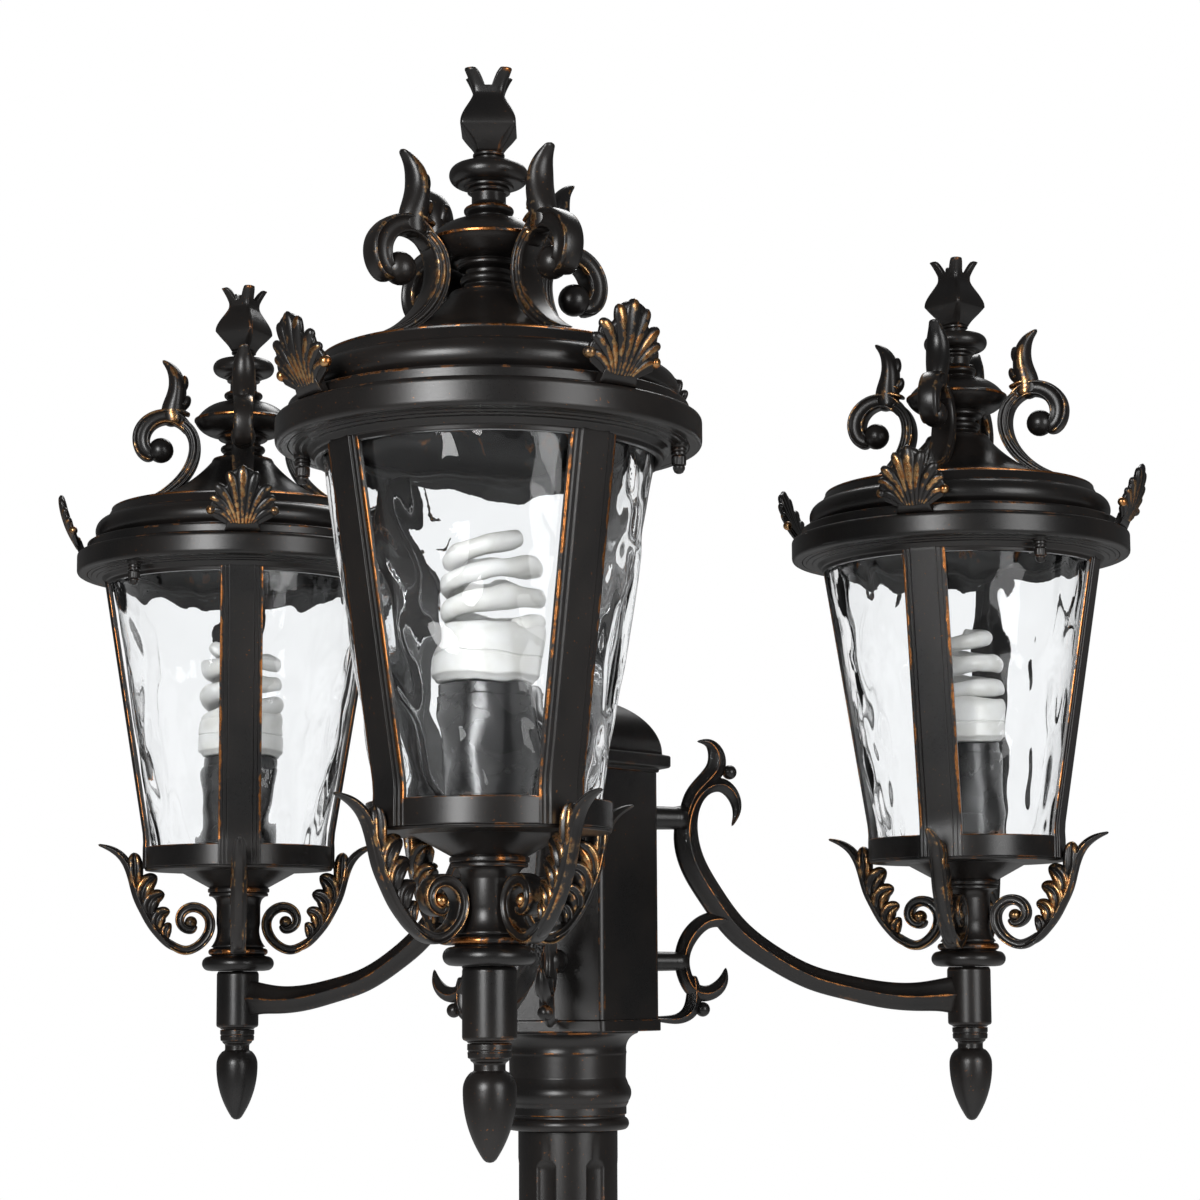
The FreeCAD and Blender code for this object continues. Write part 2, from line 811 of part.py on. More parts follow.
def make_cage():
    """Cage: foot band, leaning wall with four windows between bars, head flange with two bosses."""
    body = turned(
        "cage",
        (wall_radius(size.band_low) - size.cage_wall, size.band_low),
        (size.band_radius, size.band_low),
        (size.band_radius, band_top),
        (wall_radius(band_top), band_top),
        (size.cage_high_radius, size.cage_top),
        (size.flange_radius, size.cage_top),
        (size.flange_radius, size.cage_top + size.flange_thick),
        (size.cage_high_radius - 3 * size.cage_wall, size.cage_top + size.flange_thick),
        (size.cage_high_radius - 3 * size.cage_wall, size.cage_top),
        (size.cage_high_radius - size.cage_wall, size.cage_top),
    )
    low, high, corner = band_top, size.cage_top - size.head_band, size.window_round

    def half_width(level):
        """Half the opening between two bars that stand at the diagonals."""
        radius = wall_radius(level)
        return half_turn_sine * (radius - size.bar_width / 2)

    def draw(sketch):
        wide, narrow = half_width(high), half_width(low)
        lean = corner * (wide - narrow) / (high - low)
        rise = 0.2071 * corner
        outline(
            sketch,
            (narrow - corner, low),
            Bow(narrow + lean, low + corner, rise),
            (wide - lean, high - corner),
            Bow(wide - corner, high, rise),
            (corner - wide, high),
            Bow(lean - wide, high - corner, rise),
            (-narrow - lean, low + corner),
            Bow(corner - narrow, low, rise),
        )

    cut_through(body, "XZ_Plane", "windows_front_back", draw)
    cut_through(body, "YZ_Plane", "windows_sides", draw)
    for side, place in (("right", size.stud_circle), ("left", -size.stud_circle)):
        sketch = sketch_on(body, "XY_Plane", f"boss_{side}_sketch")
        sketch.setExpression("AttachmentOffset.Base.z", (size.cage_top - size.boss_height).text)
        round_hole(place, 0, size.boss_radius)(sketch)
        boss = body.newObject("PartDesign::Pad", f"boss_{side}")
        boss.Profile = sketch
        boss.setExpression("Length", size.boss_height.text)
        doc.recompute()
        hole = round_hole(place, 0, size.stud_radius + size.fit_gap)
        far = size.cage_top + 2 * size.flange_thick
        cut_through(body, "XY_Plane", f"stud_hole_{side}", hole, far, True)
    on_arms(body, "cage")


def make_panes():
    """Four curved panes that stand on the cup's edge inside the cage."""
    low, high = plain.band_low, plain.cage_top - plain.fit_gap
    gap = plain.cage_wall + plain.fit_gap
    foot, head = wall_radius(size.band_low).value - gap, plain.cage_high_radius - gap
    thick = plain.pane_thick
    section = patch((foot - thick, low), (foot, low), (head, high), (head - thick, high))
    pane = section.revolve(Vector(), Vector(0, 0, 1), plain.pane_span)
    on_arms(computed("glass_panes", spun(pane, panes, -plain.pane_span / 2)), "glass_panes")


def make_roof():
    """Spun roof: deep rim, step, moulding and trumpet, with two blind holes for the studs."""
    rim_top = size.cage_top + size.rim_height
    step_top = rim_top + size.step_height
    seat = size.cage_top + size.flange_thick
    under = size.rim_radius - size.rim_wall
    moulding_top = step_top + size.moulding_height
    body = turned(
        "roof",
        (size.flange_radius + size.fit_gap, size.cage_top),
        (size.rim_radius - size.rim_break, size.cage_top),
        (size.rim_radius, size.cage_top + size.rim_break),
        (size.rim_radius, rim_top - size.rim_chamfer),
        (size.rim_radius - size.rim_chamfer, rim_top),
        (size.step_radius, rim_top),
        (size.step_radius, step_top),
        (size.moulding_radius - 3, step_top + 2),
        Bow(size.moulding_lip, moulding_top, 0.25 * size.moulding_height),
        (size.trumpet_radius + 2, size.trumpet_low - 1),
        (size.trumpet_radius, size.trumpet_low),
        Bow(size.trumpet_top, size.trumpet_high, -size.trumpet_sag),
        (size.trumpet_top, size.roof_top),
        (size.spigot_radius + size.fit_gap, size.roof_top),
        (size.spigot_radius + size.fit_gap, size.trumpet_high - size.roof_wall),
        (size.trumpet_top - size.roof_wall, size.trumpet_high - size.roof_wall),
        Bow(size.trumpet_radius - size.roof_wall, size.trumpet_low - size.roof_wall, size.trumpet_sag),
        (under, step_top),
        (under, seat),
        (size.flange_radius + size.fit_gap, seat),
    )
    for side, place in (("right", size.stud_circle), ("left", -size.stud_circle)):
        hole = round_hole(place, 0, size.stud_radius + size.screw_play)
        cut_through(body, "XY_Plane", f"stud_socket_{side}", hole, seat + size.stud_bite + 1, True)
    on_arms(body, "roof")
    return body


def make_studs():
    """Two threaded studs in the roof, and the acorn nuts that draw it down on the cage."""
    seat = plain.cage_top + plain.flange_thick
    nut_top = plain.cage_top - plain.boss_height
    nut_hole = 0.8 * plain.nut_height
    stud = Part.makeCylinder(plain.stud_radius, seat + plain.stud_bite - nut_top + nut_hole - 1,
                             Vector(plain.stud_circle, 0, nut_top - nut_hole + 1))
    on_arms(computed("roof_studs", spun(stud, 2)), "roof_studs")
    ball = 0.85 * plain.nut_radius
    turns = [math.radians(60 * k) for k in range(7)]
    ring = [Vector(plain.nut_radius * math.cos(a), plain.nut_radius * math.sin(a), nut_top) for a in turns]
    hexes = Part.Face(Part.makePolygon(ring)).extrude(Vector(0, 0, -0.5 * plain.nut_height))
    middle = Vector(0, 0, nut_top - plain.nut_height + ball)
    barrel = Part.makeCylinder(ball, plain.nut_height - ball, middle)
    crown = Part.makeSphere(ball, middle)
    bottom = Vector(0, 0, nut_top - nut_hole)
    hole = Part.makeCylinder(plain.stud_radius + plain.screw_play, nut_hole, bottom)
    nut = one_solid([hexes, barrel, crown]).cut(hole).Solids[0]
    nut.translate(Vector(plain.stud_circle, 0, 0))
    on_arms(computed("cap_nuts", spun(nut, 2)), "cap_nuts")


def cut_square(side, level):
    """Wire of a square whose corners are cut off, at a level."""
    cut = corner_cut * side
    half = side / 2
    ring = [(half, half - cut), (half - cut, half), (cut - half, half), (-half, half - cut)]
    ring += [(-half, cut - half), (cut - half, -half), (half - cut, -half), (half, cut - half)]
    points = [Vector(x, y, level) for x, y in ring]
    return Part.makePolygon(points + points[:1])


def make_finial():
    """Finial: bowl and dome, rings, disc, four-sided bud and a crown of four prongs, one casting."""
    low = size.roof_top
    stack = turned(
        "finial_stack",
        (0, low - size.spigot_depth),
        (size.spigot_radius, low - size.spigot_depth),
        (size.spigot_radius, low),
        (size.finial_neck, low),
        Bow(size.finial_neck, size.bowl_low - 3, -1.5),
        (size.bowl_foot, size.bowl_low - 2),
        (size.bowl_foot, size.bowl_low),
        Bow(size.bowl_radius, size.bowl_edge - 1.5, -1),
        (size.bowl_radius, size.bowl_edge + 1.5),
        Bow(size.flare_radius, size.dome_top, 3.2),
        Bow(size.flare_radius, size.flare_top, 1.6),
        (size.shaft_radius, size.flare_top + 1),
        (size.shaft_radius, size.disc_low - 3),
        (size.flare_radius, size.disc_low),
        Bow(size.disc_radius - 2, size.disc_high - 4, 4),
        Bow(size.bud_neck + 3, size.disc_high, 1),
        (size.bud_neck, size.disc_high + 1),
        (size.bud_neck, size.bud_low + 1),
        (0, size.bud_low + 1),
    )
    swell = plain.bud_wide - plain.bud_low
    bud = Part.makeLoft([
        cut_square(2 * plain.bud_neck, plain.bud_low),
        cut_square(0.75 * plain.bud_side, plain.bud_low + 0.4 * swell),
        cut_square(plain.bud_side, plain.bud_wide),
        cut_square(0.87 * plain.bud_side, plain.bud_wide + 0.7 * swell),
        cut_square(plain.crown_side, plain.bud_high),
    ], True, False)
    tall = plain.crown_top - plain.bud_high
    crown = Part.makeLoft([
        cut_square(plain.crown_side, plain.bud_high),
        cut_square(1.04 * plain.crown_side, plain.bud_high + 0.4 * tall),
        cut_square(plain.crown_spread, plain.crown_top),
    ], True, False)
    mouth, rim = 0.28 * plain.crown_spread, plain.crown_top + 1
    notch = patch((-3.5, plain.crown_notch), (3.5, plain.crown_notch), (mouth, rim), (-mouth, rim))
    slot = notch.extrude(Vector(0, 2 * plain.crown_spread, 0))
    slot.translate(Vector(0, -plain.crown_spread, 0))
    crossed = slot.copy()
    crossed.rotate(Vector(), Vector(0, 0, 1), 90)
    crown = crown.cut(Part.makeCompound([slot, crossed])).Solids[0]
    finial = computed("finial", one_solid([stack.Shape, bud, crown]))
    on_arms(finial, "finial", turns=finial_turn)
    return finial


# Acanthus bracket, drawn as (radius, height, width) for these two lengths of the cup
drawn_band = 80.0
drawn_seat = 87.0
bracket_lines = [
    [(38.5, 34.5, 6), (45, 35.5, 7), (49.5, 42, 8), (47, 50.5, 9), (38, 54.5, 9.5), (28.5, 51, 9.5),
     (23.4, 43, 10.5), (23.6, 36, 10.5), (29.5, 25.2, 8.6), (36.8, 19.6, 8), (43.8, 17.7, 8), (50.8, 19.5, 8),
     (63, 28.7, 9), (70.7, 38.2, 10), (77.2, 50.4, 11), (82.8, 61.9, 11), (87.3, 78.9, 11), (98.6, 98.3, 7),
     (118.5, 107, 2.5)],
    [(86.5, 74, 12), (86.6, 88, 13), (88, 100, 8)],
    [(82, 60, 12), (79, 72, 13), (69, 79, 8)],
    [(77, 50, 12), (73, 60.5, 13), (63, 64, 7)],
    [(70.5, 40, 11), (66, 47.5, 12), (58, 50, 7)],
    [(62.5, 30, 8), (58.5, 36, 8), (56, 40, 5)],
]
bracket_eye = (40, 41.5, 6.5)


def make_brackets():
    """Four acanthus brackets, each a scroll on the column that opens into a leaf under the band."""
    wide, tall = plain.band_radius / drawn_band, plain.band_low / drawn_seat
    faces = [stroke([(x * wide, z * tall, w) for x, z, w in line]) for line in bracket_lines]
    x, z, radius = bracket_eye
    faces.append(disc(x * wide, z * tall, radius))
    bracket = plate(faces, plain.bracket_thick)
    column = Part.makeCylinder(plain.waist_radius + plain.fit_gap, plain.band_low)
    band = Part.makeCylinder(plain.band_radius + plain.fit_gap, plain.band_height + plain.shoulder_thick,
                             Vector(0, 0, plain.band_low - plain.shoulder_thick - plain.fit_gap))
    bracket = biggest(bracket.cut(Part.makeCompound([column, band])))
    on_arms(computed("brackets", spun(bracket, 4, 45)), "brackets")


# Roof scroll, drawn as (radius, height above the trumpet's foot, width)
scroll_lines = [
    [(83, 3, 5), (70, 8, 9), (54, 19, 12), (44.5, 36, 13), (44, 52, 12), (52, 64, 11), (66, 68, 10.5),
     (80, 64, 11.5), (89, 52, 13), (88, 38, 13), (77, 30.5, 11), (68, 36, 8)],
    [(49, 62, 10), (52, 76, 14), (56, 90, 16), (60, 102, 13), (67, 112, 7)],
    [(56, 74, 8), (49, 78, 8), (45.5, 84, 3)],
]
scroll_eye = (73, 38, 10)


def make_roof_scrolls(roof):
    """Four scrolls that stand on the trumpet, each a volute with a leaf above it."""
    wide = plain.trumpet_radius / sizes["trumpet_radius"]
    faces = [stroke([(x * wide, z + plain.trumpet_low, w) for x, z, w in line]) for line in scroll_lines]
    x, z, radius = scroll_eye
    faces.append(disc(x * wide, z + plain.trumpet_low, radius))
    scroll = plate(faces, plain.scroll_thick)
    clear = roof.Shape.copy()
    clear.Placement = Placement(Vector(0, 0, plain.fit_gap), Rotation())
    below = Part.makeCylinder(plain.rim_radius, plain.trumpet_low)
    bowl = Part.makeCylinder(plain.bowl_radius + plain.fit_gap, plain.crown_top)
    scroll = biggest(scroll.cut(Part.makeCompound([below, bowl])).cut(clear))
    on_arms(computed("roof_scrolls", spun(scroll, 4, 45)), "roof_scrolls")


# Palmette, drawn as (across, height, width): one top lobe and three lobes each side
palmette_lobes = [
    [(3.5, 9, 6), (8.5, 28, 9), (15.5, 42, 8)],
    [(6, 9, 6), (13.5, 22, 9), (23, 33.5, 8)],
    [(8, 8, 6), (16, 16, 8), (25.5, 24, 7)],
]
palmette_top = [(0, 8, 8), (0, 28, 13), (0, 44, 15), (0, 53, 7)]


def make_palmettes():
    """Four palmettes on the rim, leaning outwards."""
    half, plinth = plain.palmette_base / 2, plain.palmette_plinth
    faces = [patch((-half, -plinth), (half, -plinth), (0.85 * half, plinth), (-0.85 * half, plinth))]
    faces.append(stroke(palmette_top))
    for lobe in palmette_lobes:
        faces += [stroke([(side * x, z, w) for x, z, w in lobe]) for side in (1, -1)]
    leaf = plate(faces, plain.palmette_thick)
    leaf.translate(Vector(0, -plain.palmette_thick / 2, 0))
    leaf.rotate(Vector(), Vector(1, 0, 0), plain.palmette_lean)
    below = Part.makeCylinder(plain.rim_radius, plain.rim_radius, Vector(), Vector(0, 0, -1))
    leaf = biggest(leaf.cut(below))
    rise = plain.cage_top + plain.rim_height + plain.fit_gap
    leaf.translate(Vector(0, -plain.step_radius - plain.fit_gap, rise))
    on_arms(computed("palmettes", spun(leaf, 4, 45)), "palmettes")


def make_lampholder():
    """Lampholder on the stem's head, and the dark cover tube round it."""
    top = size.cover_top
    on_arms(turned(
        "lampholder",
        (size.stem_radius + size.screw_play, holder_low),
        (size.holder_radius, holder_low),
        (size.holder_radius, top),
        (size.socket_radius, top),
        (size.socket_radius, top - size.socket_depth),
        (size.stem_radius + size.screw_play, top - size.socket_depth),
    ), "lampholder")
    inner = size.cover_radius - size.cover_wall
    on_arms(turned(
        "lampholder_cover",
        (inner, dish_floor),
        (size.cover_radius, dish_floor),
        (size.cover_radius, top),
        (inner, top),
    ), "lampholder_cover")


def make_bulb():
    """Spiral lamp: screw cap, white ballast housing and coiled tube."""
    low = size.cover_top + size.fit_gap
    high = low + size.ballast_height
    cap = size.socket_radius - size.cap_gap
    stack = turned(
        "bulb_body",
        (0, low - size.socket_depth + 2),
        (cap - 3, low - size.socket_depth + 2),
        (cap, low - size.socket_depth + 5),
        (cap, low),
        (size.ballast_radius - 2, low),
        (size.ballast_radius, low + 4),
        (size.ballast_radius, high - 6),
        Bow(size.ballast_radius - 5, high, 1.2),
        (0, high),
    )
    level = high.value - plain.tube_radius
    helix = Part.makeHelix(plain.coil_pitch, plain.coil_pitch * plain.coil_turns, plain.coil_radius)
    ring = Part.Wire(Part.makeCircle(plain.tube_radius, Vector(plain.coil_radius, 0, 0), Vector(0, 1, 0)))
    coil = Part.Wire(helix.Edges).makePipeShell([ring], True, True)
    coil.translate(Vector(0, 0, level))
    on_arms(computed("bulb", one_solid([stack.Shape, coil])), "bulb")


make_base()
make_set_screws()
make_post()
make_collar()
make_hub()
make_hub_cap()
make_screws()
make_arm()
make_stem()
make_drop()
make_cup()
make_cage()
make_panes()
roof_body = make_roof()
make_studs()
make_finial()
make_brackets()
make_roof_scrolls(roof_body)
make_palmettes()
make_lampholder()
make_bulb()
doc.recompute()

for thing in doc.Objects:
    if "Invalid" in thing.State or "Error" in thing.State:
        raise RuntimeError(f"{thing.Label} failed: {thing.State}")
for node in nodes:
    shape = Part.getShape(node)
    if shape.isNull() or not shape.isValid() or not shape.Solids:
        raise RuntimeError(f"{node.Label} has no valid solid")
for node in nodes:
    Part.getShape(node).exportStep(f"parts/{node.Label}.step")
print(len(nodes), "nodes written")
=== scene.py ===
import math

import bpy
import numpy as np
from mathutils import Matrix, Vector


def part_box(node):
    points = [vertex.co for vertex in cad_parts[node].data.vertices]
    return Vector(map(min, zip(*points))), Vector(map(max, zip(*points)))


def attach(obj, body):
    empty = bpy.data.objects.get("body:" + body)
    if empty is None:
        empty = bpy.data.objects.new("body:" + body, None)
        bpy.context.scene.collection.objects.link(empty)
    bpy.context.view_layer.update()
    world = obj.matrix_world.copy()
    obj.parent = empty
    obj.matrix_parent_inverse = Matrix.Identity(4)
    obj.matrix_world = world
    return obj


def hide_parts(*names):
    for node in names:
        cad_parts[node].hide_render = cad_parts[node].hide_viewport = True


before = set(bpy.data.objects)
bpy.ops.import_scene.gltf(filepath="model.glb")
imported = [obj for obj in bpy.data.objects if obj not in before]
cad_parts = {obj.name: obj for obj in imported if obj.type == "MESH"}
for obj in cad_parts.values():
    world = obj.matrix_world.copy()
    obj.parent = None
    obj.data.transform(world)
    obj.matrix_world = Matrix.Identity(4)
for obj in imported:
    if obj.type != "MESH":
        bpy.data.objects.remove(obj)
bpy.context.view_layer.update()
print("frame loaded,", len(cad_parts), "nodes")

mm = 0.001
sides = ("front", "right", "left")


def seatOf(side):
    # a lantern's seat on its arm, and how far it is turned about the post
    low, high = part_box(f"stem_{side}")
    x, y = (low.x + high.x) / 2, (low.y + high.y) / 2
    return np.array((x, y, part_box(f"cup_{side}")[0].z)), math.atan2(x, -y)


seats = {side: seatOf(side) for side in sides}


# shapes: every surface is a grid of points in millimetres

def smooth(low, high, x):
    t = np.clip((x - low) / (high - low), 0, 1)
    return t * t * (3 - 2 * t)


def roundEnd(share):
    # quarter circle from 0 to 1: root of 1 - (1 - share) squared
    return np.sqrt(np.clip(1 - np.clip(1 - share, 0, 1) ** 2, 0, 1))


def fullTurn(count):
    return np.linspace(0, 2 * math.pi, count, endpoint=False)


def polar(radius, turn, z):
    return np.stack((radius * np.cos(turn), radius * np.sin(turn), z + 0 * turn), -1)


def capped(rows):
    # one more row at each end, drawn together in the middle of the row beside it
    first, last = (rows[[k]].mean(axis=1, keepdims=True) + 0 * rows[:1] for k in (0, -1))
    return np.concatenate((first, rows, last))


class Shape:
    # points in mm, faces of four and three corners, and a rubbed value a point

    def __init__(self, co, quads, tris, line):
        self.co, self.quads, self.tris, self.line = co, quads, tris, line

    def turned(self, angle, shift=(0, 0, 0)):
        c, s = math.cos(angle), math.sin(angle)
        spin = np.array(((c, -s, 0), (s, c, 0), (0, 0, 1)))
        return Shape(self.co @ spin.T + np.asarray(shift, float), self.quads, self.tris, self.line)

    def outward(self):
        # signed volume of the closed surface; a negative one means its faces look in
        a, b, c, d = (self.co[self.quads[:, k]] for k in range(4))
        volume = np.einsum("ij,ij->", a, np.cross(b, c)) + np.einsum("ij,ij->", a, np.cross(c, d))
        if len(self.tris):
            a, b, c = (self.co[self.tris[:, k]] for k in range(3))
            volume += np.einsum("ij,ij->", a, np.cross(b, c))
        if volume < 0:
            self.quads, self.tris = self.quads[:, ::-1], self.tris[:, ::-1]
        return self


def joined(shapes):
    start = np.cumsum([0] + [len(s.co) for s in shapes[:-1]])
    return Shape(
        np.concatenate([s.co for s in shapes]),
        np.concatenate([s.quads + k for s, k in zip(shapes, start)]),
        np.concatenate([s.tris + k for s, k in zip(shapes, start)]),
        np.concatenate([s.line for s in shapes]),
    )


def ringed(shape, count, first=0.0):
    return joined([shape.turned(first + 2 * math.pi * k / count) for k in range(count)])


def gridShape(points, closed=False, line=0.0):
    # rows by columns of points, columns always closed; the rows close too, or each end row becomes a point
    rows, cols = points.shape[:2]
    index = np.arange(rows * cols).reshape(rows, cols)
    if not closed:
        index[0], index[-1] = index[0, 0], index[-1, 0]
    beside = np.roll(index, -1, axis=1)
    quads = np.stack((index, beside, np.roll(beside, -1, axis=0), np.roll(index, -1, axis=0)), -1)
    tris = np.zeros((0, 3), int)
    if not closed:
        tris = np.concatenate((quads[0][:, (0, 2, 3)], quads[-2][:, (0, 1, 2)]))
        quads = quads[1:-2]
    used, back = np.unique(np.concatenate((quads.ravel(), tris.ravel())), return_inverse=True)
    values = np.broadcast_to(line, (rows, cols)).ravel()
    quads, tris = back[:quads.size].reshape(-1, 4), back[quads.size:].reshape(-1, 3)
    return Shape(points.reshape(-1, 3)[used], quads, tris, values[used]).outward()


def slabShape(front, back):
    # two sheets of points joined round their edges
    rows, cols = front.shape[:2]
    near = np.arange(rows * cols).reshape(rows, cols)
    far = near + rows * cols

    def sheet(k):
        return np.stack((k[:-1, :-1], k[:-1, 1:], k[1:, 1:], k[1:, :-1]), -1).reshape(-1, 4)

    def strip(a, b):
        return np.stack((a[:-1], b[:-1], b[1:], a[1:]), -1)

    quads = np.concatenate((
        sheet(near), sheet(far)[:, ::-1], strip(near[0], far[0]), strip(far[-1], near[-1]),
        strip(far[:, 0], near[:, 0]), strip(near[:, -1], far[:, -1]),
    ))
    co = np.concatenate((front.reshape(-1, 3), back.reshape(-1, 3)))
    return Shape(co, quads, np.zeros((0, 3), int), np.zeros(len(co))).outward()


def arcTo(start, finish, rise, count):
    # circle arc between two profile points; it stands off its chord by rise, to the right of the way it runs
    start, finish = np.asarray(start, float), np.asarray(finish, float)
    chord = finish - start
    length = np.linalg.norm(chord)
    way = chord / length
    right = np.array((way[1], -way[0]))
    radius = length * length / (8 * abs(rise)) + abs(rise) / 2
    signed = math.copysign(radius, rise)
    middle = (start + finish) / 2 + right * (rise - signed)
    half = math.asin(min(1, length / 2 / radius))
    if abs(rise) > length / 2:
        half = math.pi - half
    swing = np.linspace(-half, half, count)
    points = middle + signed * np.outer(np.cos(swing), right) + radius * np.outer(np.sin(swing), way)
    return [(x, y, 0) for x, y in points]


def profileThrough(*stops, closed=False, steps=5):
    # straight runs through (radius, height, rounding); a rounded corner is a parabola arc, supported beside
    most, beside = 0.45, 1.1
    corners = np.array([s if len(s) == 3 else (*s, 0) for s in stops], float)
    spots, rounding = corners[:, :2], corners[:, 2]
    before, after = np.roll(spots, 1, axis=0) - spots, np.roll(spots, -1, axis=0) - spots
    lengths = np.linalg.norm(before, axis=1), np.linalg.norm(after, axis=1)
    t = np.linspace(0, 1, steps)[:, None]
    line = []
    for k, (corner, radius) in enumerate(zip(spots, rounding)):
        if radius == 0 or (not closed and k in (0, len(spots) - 1)):
            line.append(corner[None])
            continue
        reach = min(radius, most * lengths[0][k], most * lengths[1][k])
        inward, onward = before[k] / lengths[0][k] * reach, after[k] / lengths[1][k] * reach
        curve = corner + inward * (1 - t) ** 2 + onward * t ** 2
        line += [(corner + beside * inward)[None], curve, (corner + beside * onward)[None]]
    return np.concatenate(line)


def latheShape(*stops, count=112, closed=False, rub=()):
    # profile swept round the axis: (r cos a, r sin a, z); rub lists bare bands as (low, high, how bare)
    profile = profileThrough(*stops, closed=closed)
    r, z = profile[:, :1], profile[:, 1:]
    bands = [value * ((z >= low) & (z <= high)) for low, high, value in rub]
    return gridShape(polar(r, fullTurn(count), z), closed, np.max(bands, axis=0) if bands else 0.0)


def manySided(count, rings, corner, steps, turn=0.0):
    # rings (half width, height) of a regular polygon: each corner, minus and plus a share of its two sides
    over, most = 1.12, 0.9
    flat, height = rings[:, 0, None, None], rings[:, 1, None, None]
    corner = np.broadcast_to(corner, len(rings))[:, None, None]
    angle = turn + 2 * math.pi * np.arange(count) / count
    half = math.pi / count
    spoke = np.stack((np.cos(angle), np.sin(angle)), -1)
    ahead = np.stack((-np.sin(angle + half), np.cos(angle + half)), -1)
    astern = np.roll(ahead, 1, axis=0)
    t = np.concatenate(([1 - over], np.linspace(0, 1, steps), [over]))
    tail = np.where(t < 0, over, np.clip(1 - t, 0, 1) ** 2)[None, :, None] * astern[:, None]
    head = np.where(t > 1, over, np.clip(t, 0, 1) ** 2)[None, :, None] * ahead[:, None]
    tips = spoke[:, None].repeat(len(t), 1).reshape(1, -1, 2)
    cuts = (head - tail).reshape(1, -1, 2)
    xy = tips * flat / math.cos(half) + cuts * np.minimum(corner, most * flat * math.tan(half))
    return gridShape(np.concatenate((xy, height + 0 * xy[..., :1]), -1))


def curveThrough(marks, count):
    # natural cubic through rows of numbers, by the distance between their first two columns;
    # count says how many points, or which shares of the length
    marks = np.asarray(marks, float)
    at = np.concatenate(([0], np.cumsum(np.linalg.norm(np.diff(marks[:, :2], axis=0), axis=1))))
    gap = np.diff(at)
    n = len(at)
    system = np.eye(n)
    inner = np.arange(1, n - 1)
    system[inner, inner - 1], system[inner, inner + 1] = gap[:-1], gap[1:]
    system[inner, inner] = 2 * (gap[:-1] + gap[1:])
    slope = np.diff(marks, axis=0) / gap[:, None]
    side = np.zeros_like(marks)
    side[1:-1] = 6 * np.diff(slope, axis=0)
    bend = np.linalg.solve(system, side)
    u = at[-1] * count if isinstance(count, np.ndarray) else np.linspace(0, at[-1], count)
    k = np.clip(np.searchsorted(at, u, side="right") - 1, 0, n - 2)
    left, right, h = (u - at[k])[:, None], (at[k + 1] - u)[:, None], gap[k][:, None]
    cubic = (bend[k] * right ** 3 + bend[k + 1] * left ** 3) / (6 * h)
    return cubic + (marks[k] / h - bend[k] * h / 6) * right + (marks[k + 1] / h - bend[k + 1] * h / 6) * left


def loopOf(quarter):
    # a closed section from a quarter of it (along, across, rubbed), mirrored along and then across
    quarter = np.array(quarter, float)
    half = np.concatenate((quarter, quarter[-2::-1] * (-1, 1, 1)))
    return np.concatenate((half, half[-2:0:-1] * (1, -1, 1)))


def roundLoop(count, power):
    # superellipse: |along| and |across| to that power add up to 1
    angle = fullTurn(count)
    c, s = np.cos(angle), np.sin(angle)
    return np.stack((np.sign(c) * abs(c) ** (2 / power), np.sign(s) * abs(s) ** (2 / power), 0 * c), -1)


def alongCurve(marks, loop, count, startCap, endCap):
    # section carried along (x, z, width, depth): spine + normal * width/2 * along + Y * depth/2 * across;
    # the widths close to a round end over a share of the end's own width; rows crowd a little at both ends
    crowd, least = 0.35, 0.05
    share = 0.5 - 0.5 * np.cos(np.linspace(0, math.pi, count))
    share = crowd * share + (1 - crowd) * np.linspace(0, 1, count)
    spine = curveThrough(marks, share)
    width, depth = np.maximum(spine[:, 2], least), np.maximum(spine[:, 3], least)
    way = np.gradient(spine[:, :2], axis=0)
    way /= np.linalg.norm(way, axis=1)[:, None]
    length = np.concatenate(([0], np.cumsum(np.linalg.norm(np.diff(spine[:, :2], axis=0), axis=1))))
    for distance, cap, end in ((length, startCap, width[1]), (length[-1] - length, endCap, width[-2])):
        closing = roundEnd(distance / max(cap * end, 1e-6))
        width, depth = width * closing, depth * closing
    normal = np.stack((-way[:, 1], way[:, 0]), -1)
    along = (width[:, None] / 2 * loop[None, :, 0])[..., None] * normal[:, None]
    across = depth[:, None] / 2 * loop[None, :, 1]
    points = np.stack((spine[:, None, 0] + along[..., 0], across, spine[:, None, 1] + along[..., 1]), -1)
    return gridShape(points, line=loop[None, :, 2])


def ballShape(x, z, radius, depth=None, count=20, line=0.0):
    # ellipsoid: latitude rows, longitude columns
    lat = np.linspace(-math.pi / 2, math.pi / 2, count)[:, None]
    lon = fullTurn(count + 4)
    points = np.stack((
        x + radius * np.cos(lat) * np.cos(lon), (depth or radius) * np.sin(lat) + 0 * lon,
        z + radius * np.cos(lat) * np.sin(lon),
    ), -1)
    return gridShape(points, line=line)


def tubeShape(path, radius, count=20):
    # circle carried along a space curve; its frame is the path's own direction and the upright
    way = np.gradient(path, axis=0)
    way /= np.linalg.norm(way, axis=1)[:, None]
    out = np.cross(way, (0, 0, 1))
    out /= np.linalg.norm(out, axis=1)[:, None]
    up = np.cross(out, way)
    turn = fullTurn(count)
    ring = np.cos(turn)[None, :, None] * out[:, None] + np.sin(turn)[None, :, None] * up[:, None]
    return gridShape(path[:, None] + ring * np.asarray(radius).reshape(-1, 1, 1))


# pieces: shape to mesh, with the rubbed edges worked out from its curvature

def edgesOf(shape):
    loops = [shape.quads[:, (k, (k + 1) % 4)] for k in range(4)]
    loops += [shape.tris[:, (k, (k + 1) % 3)] for k in range(3)]
    return np.unique(np.sort(np.concatenate(loops), axis=1), axis=0)


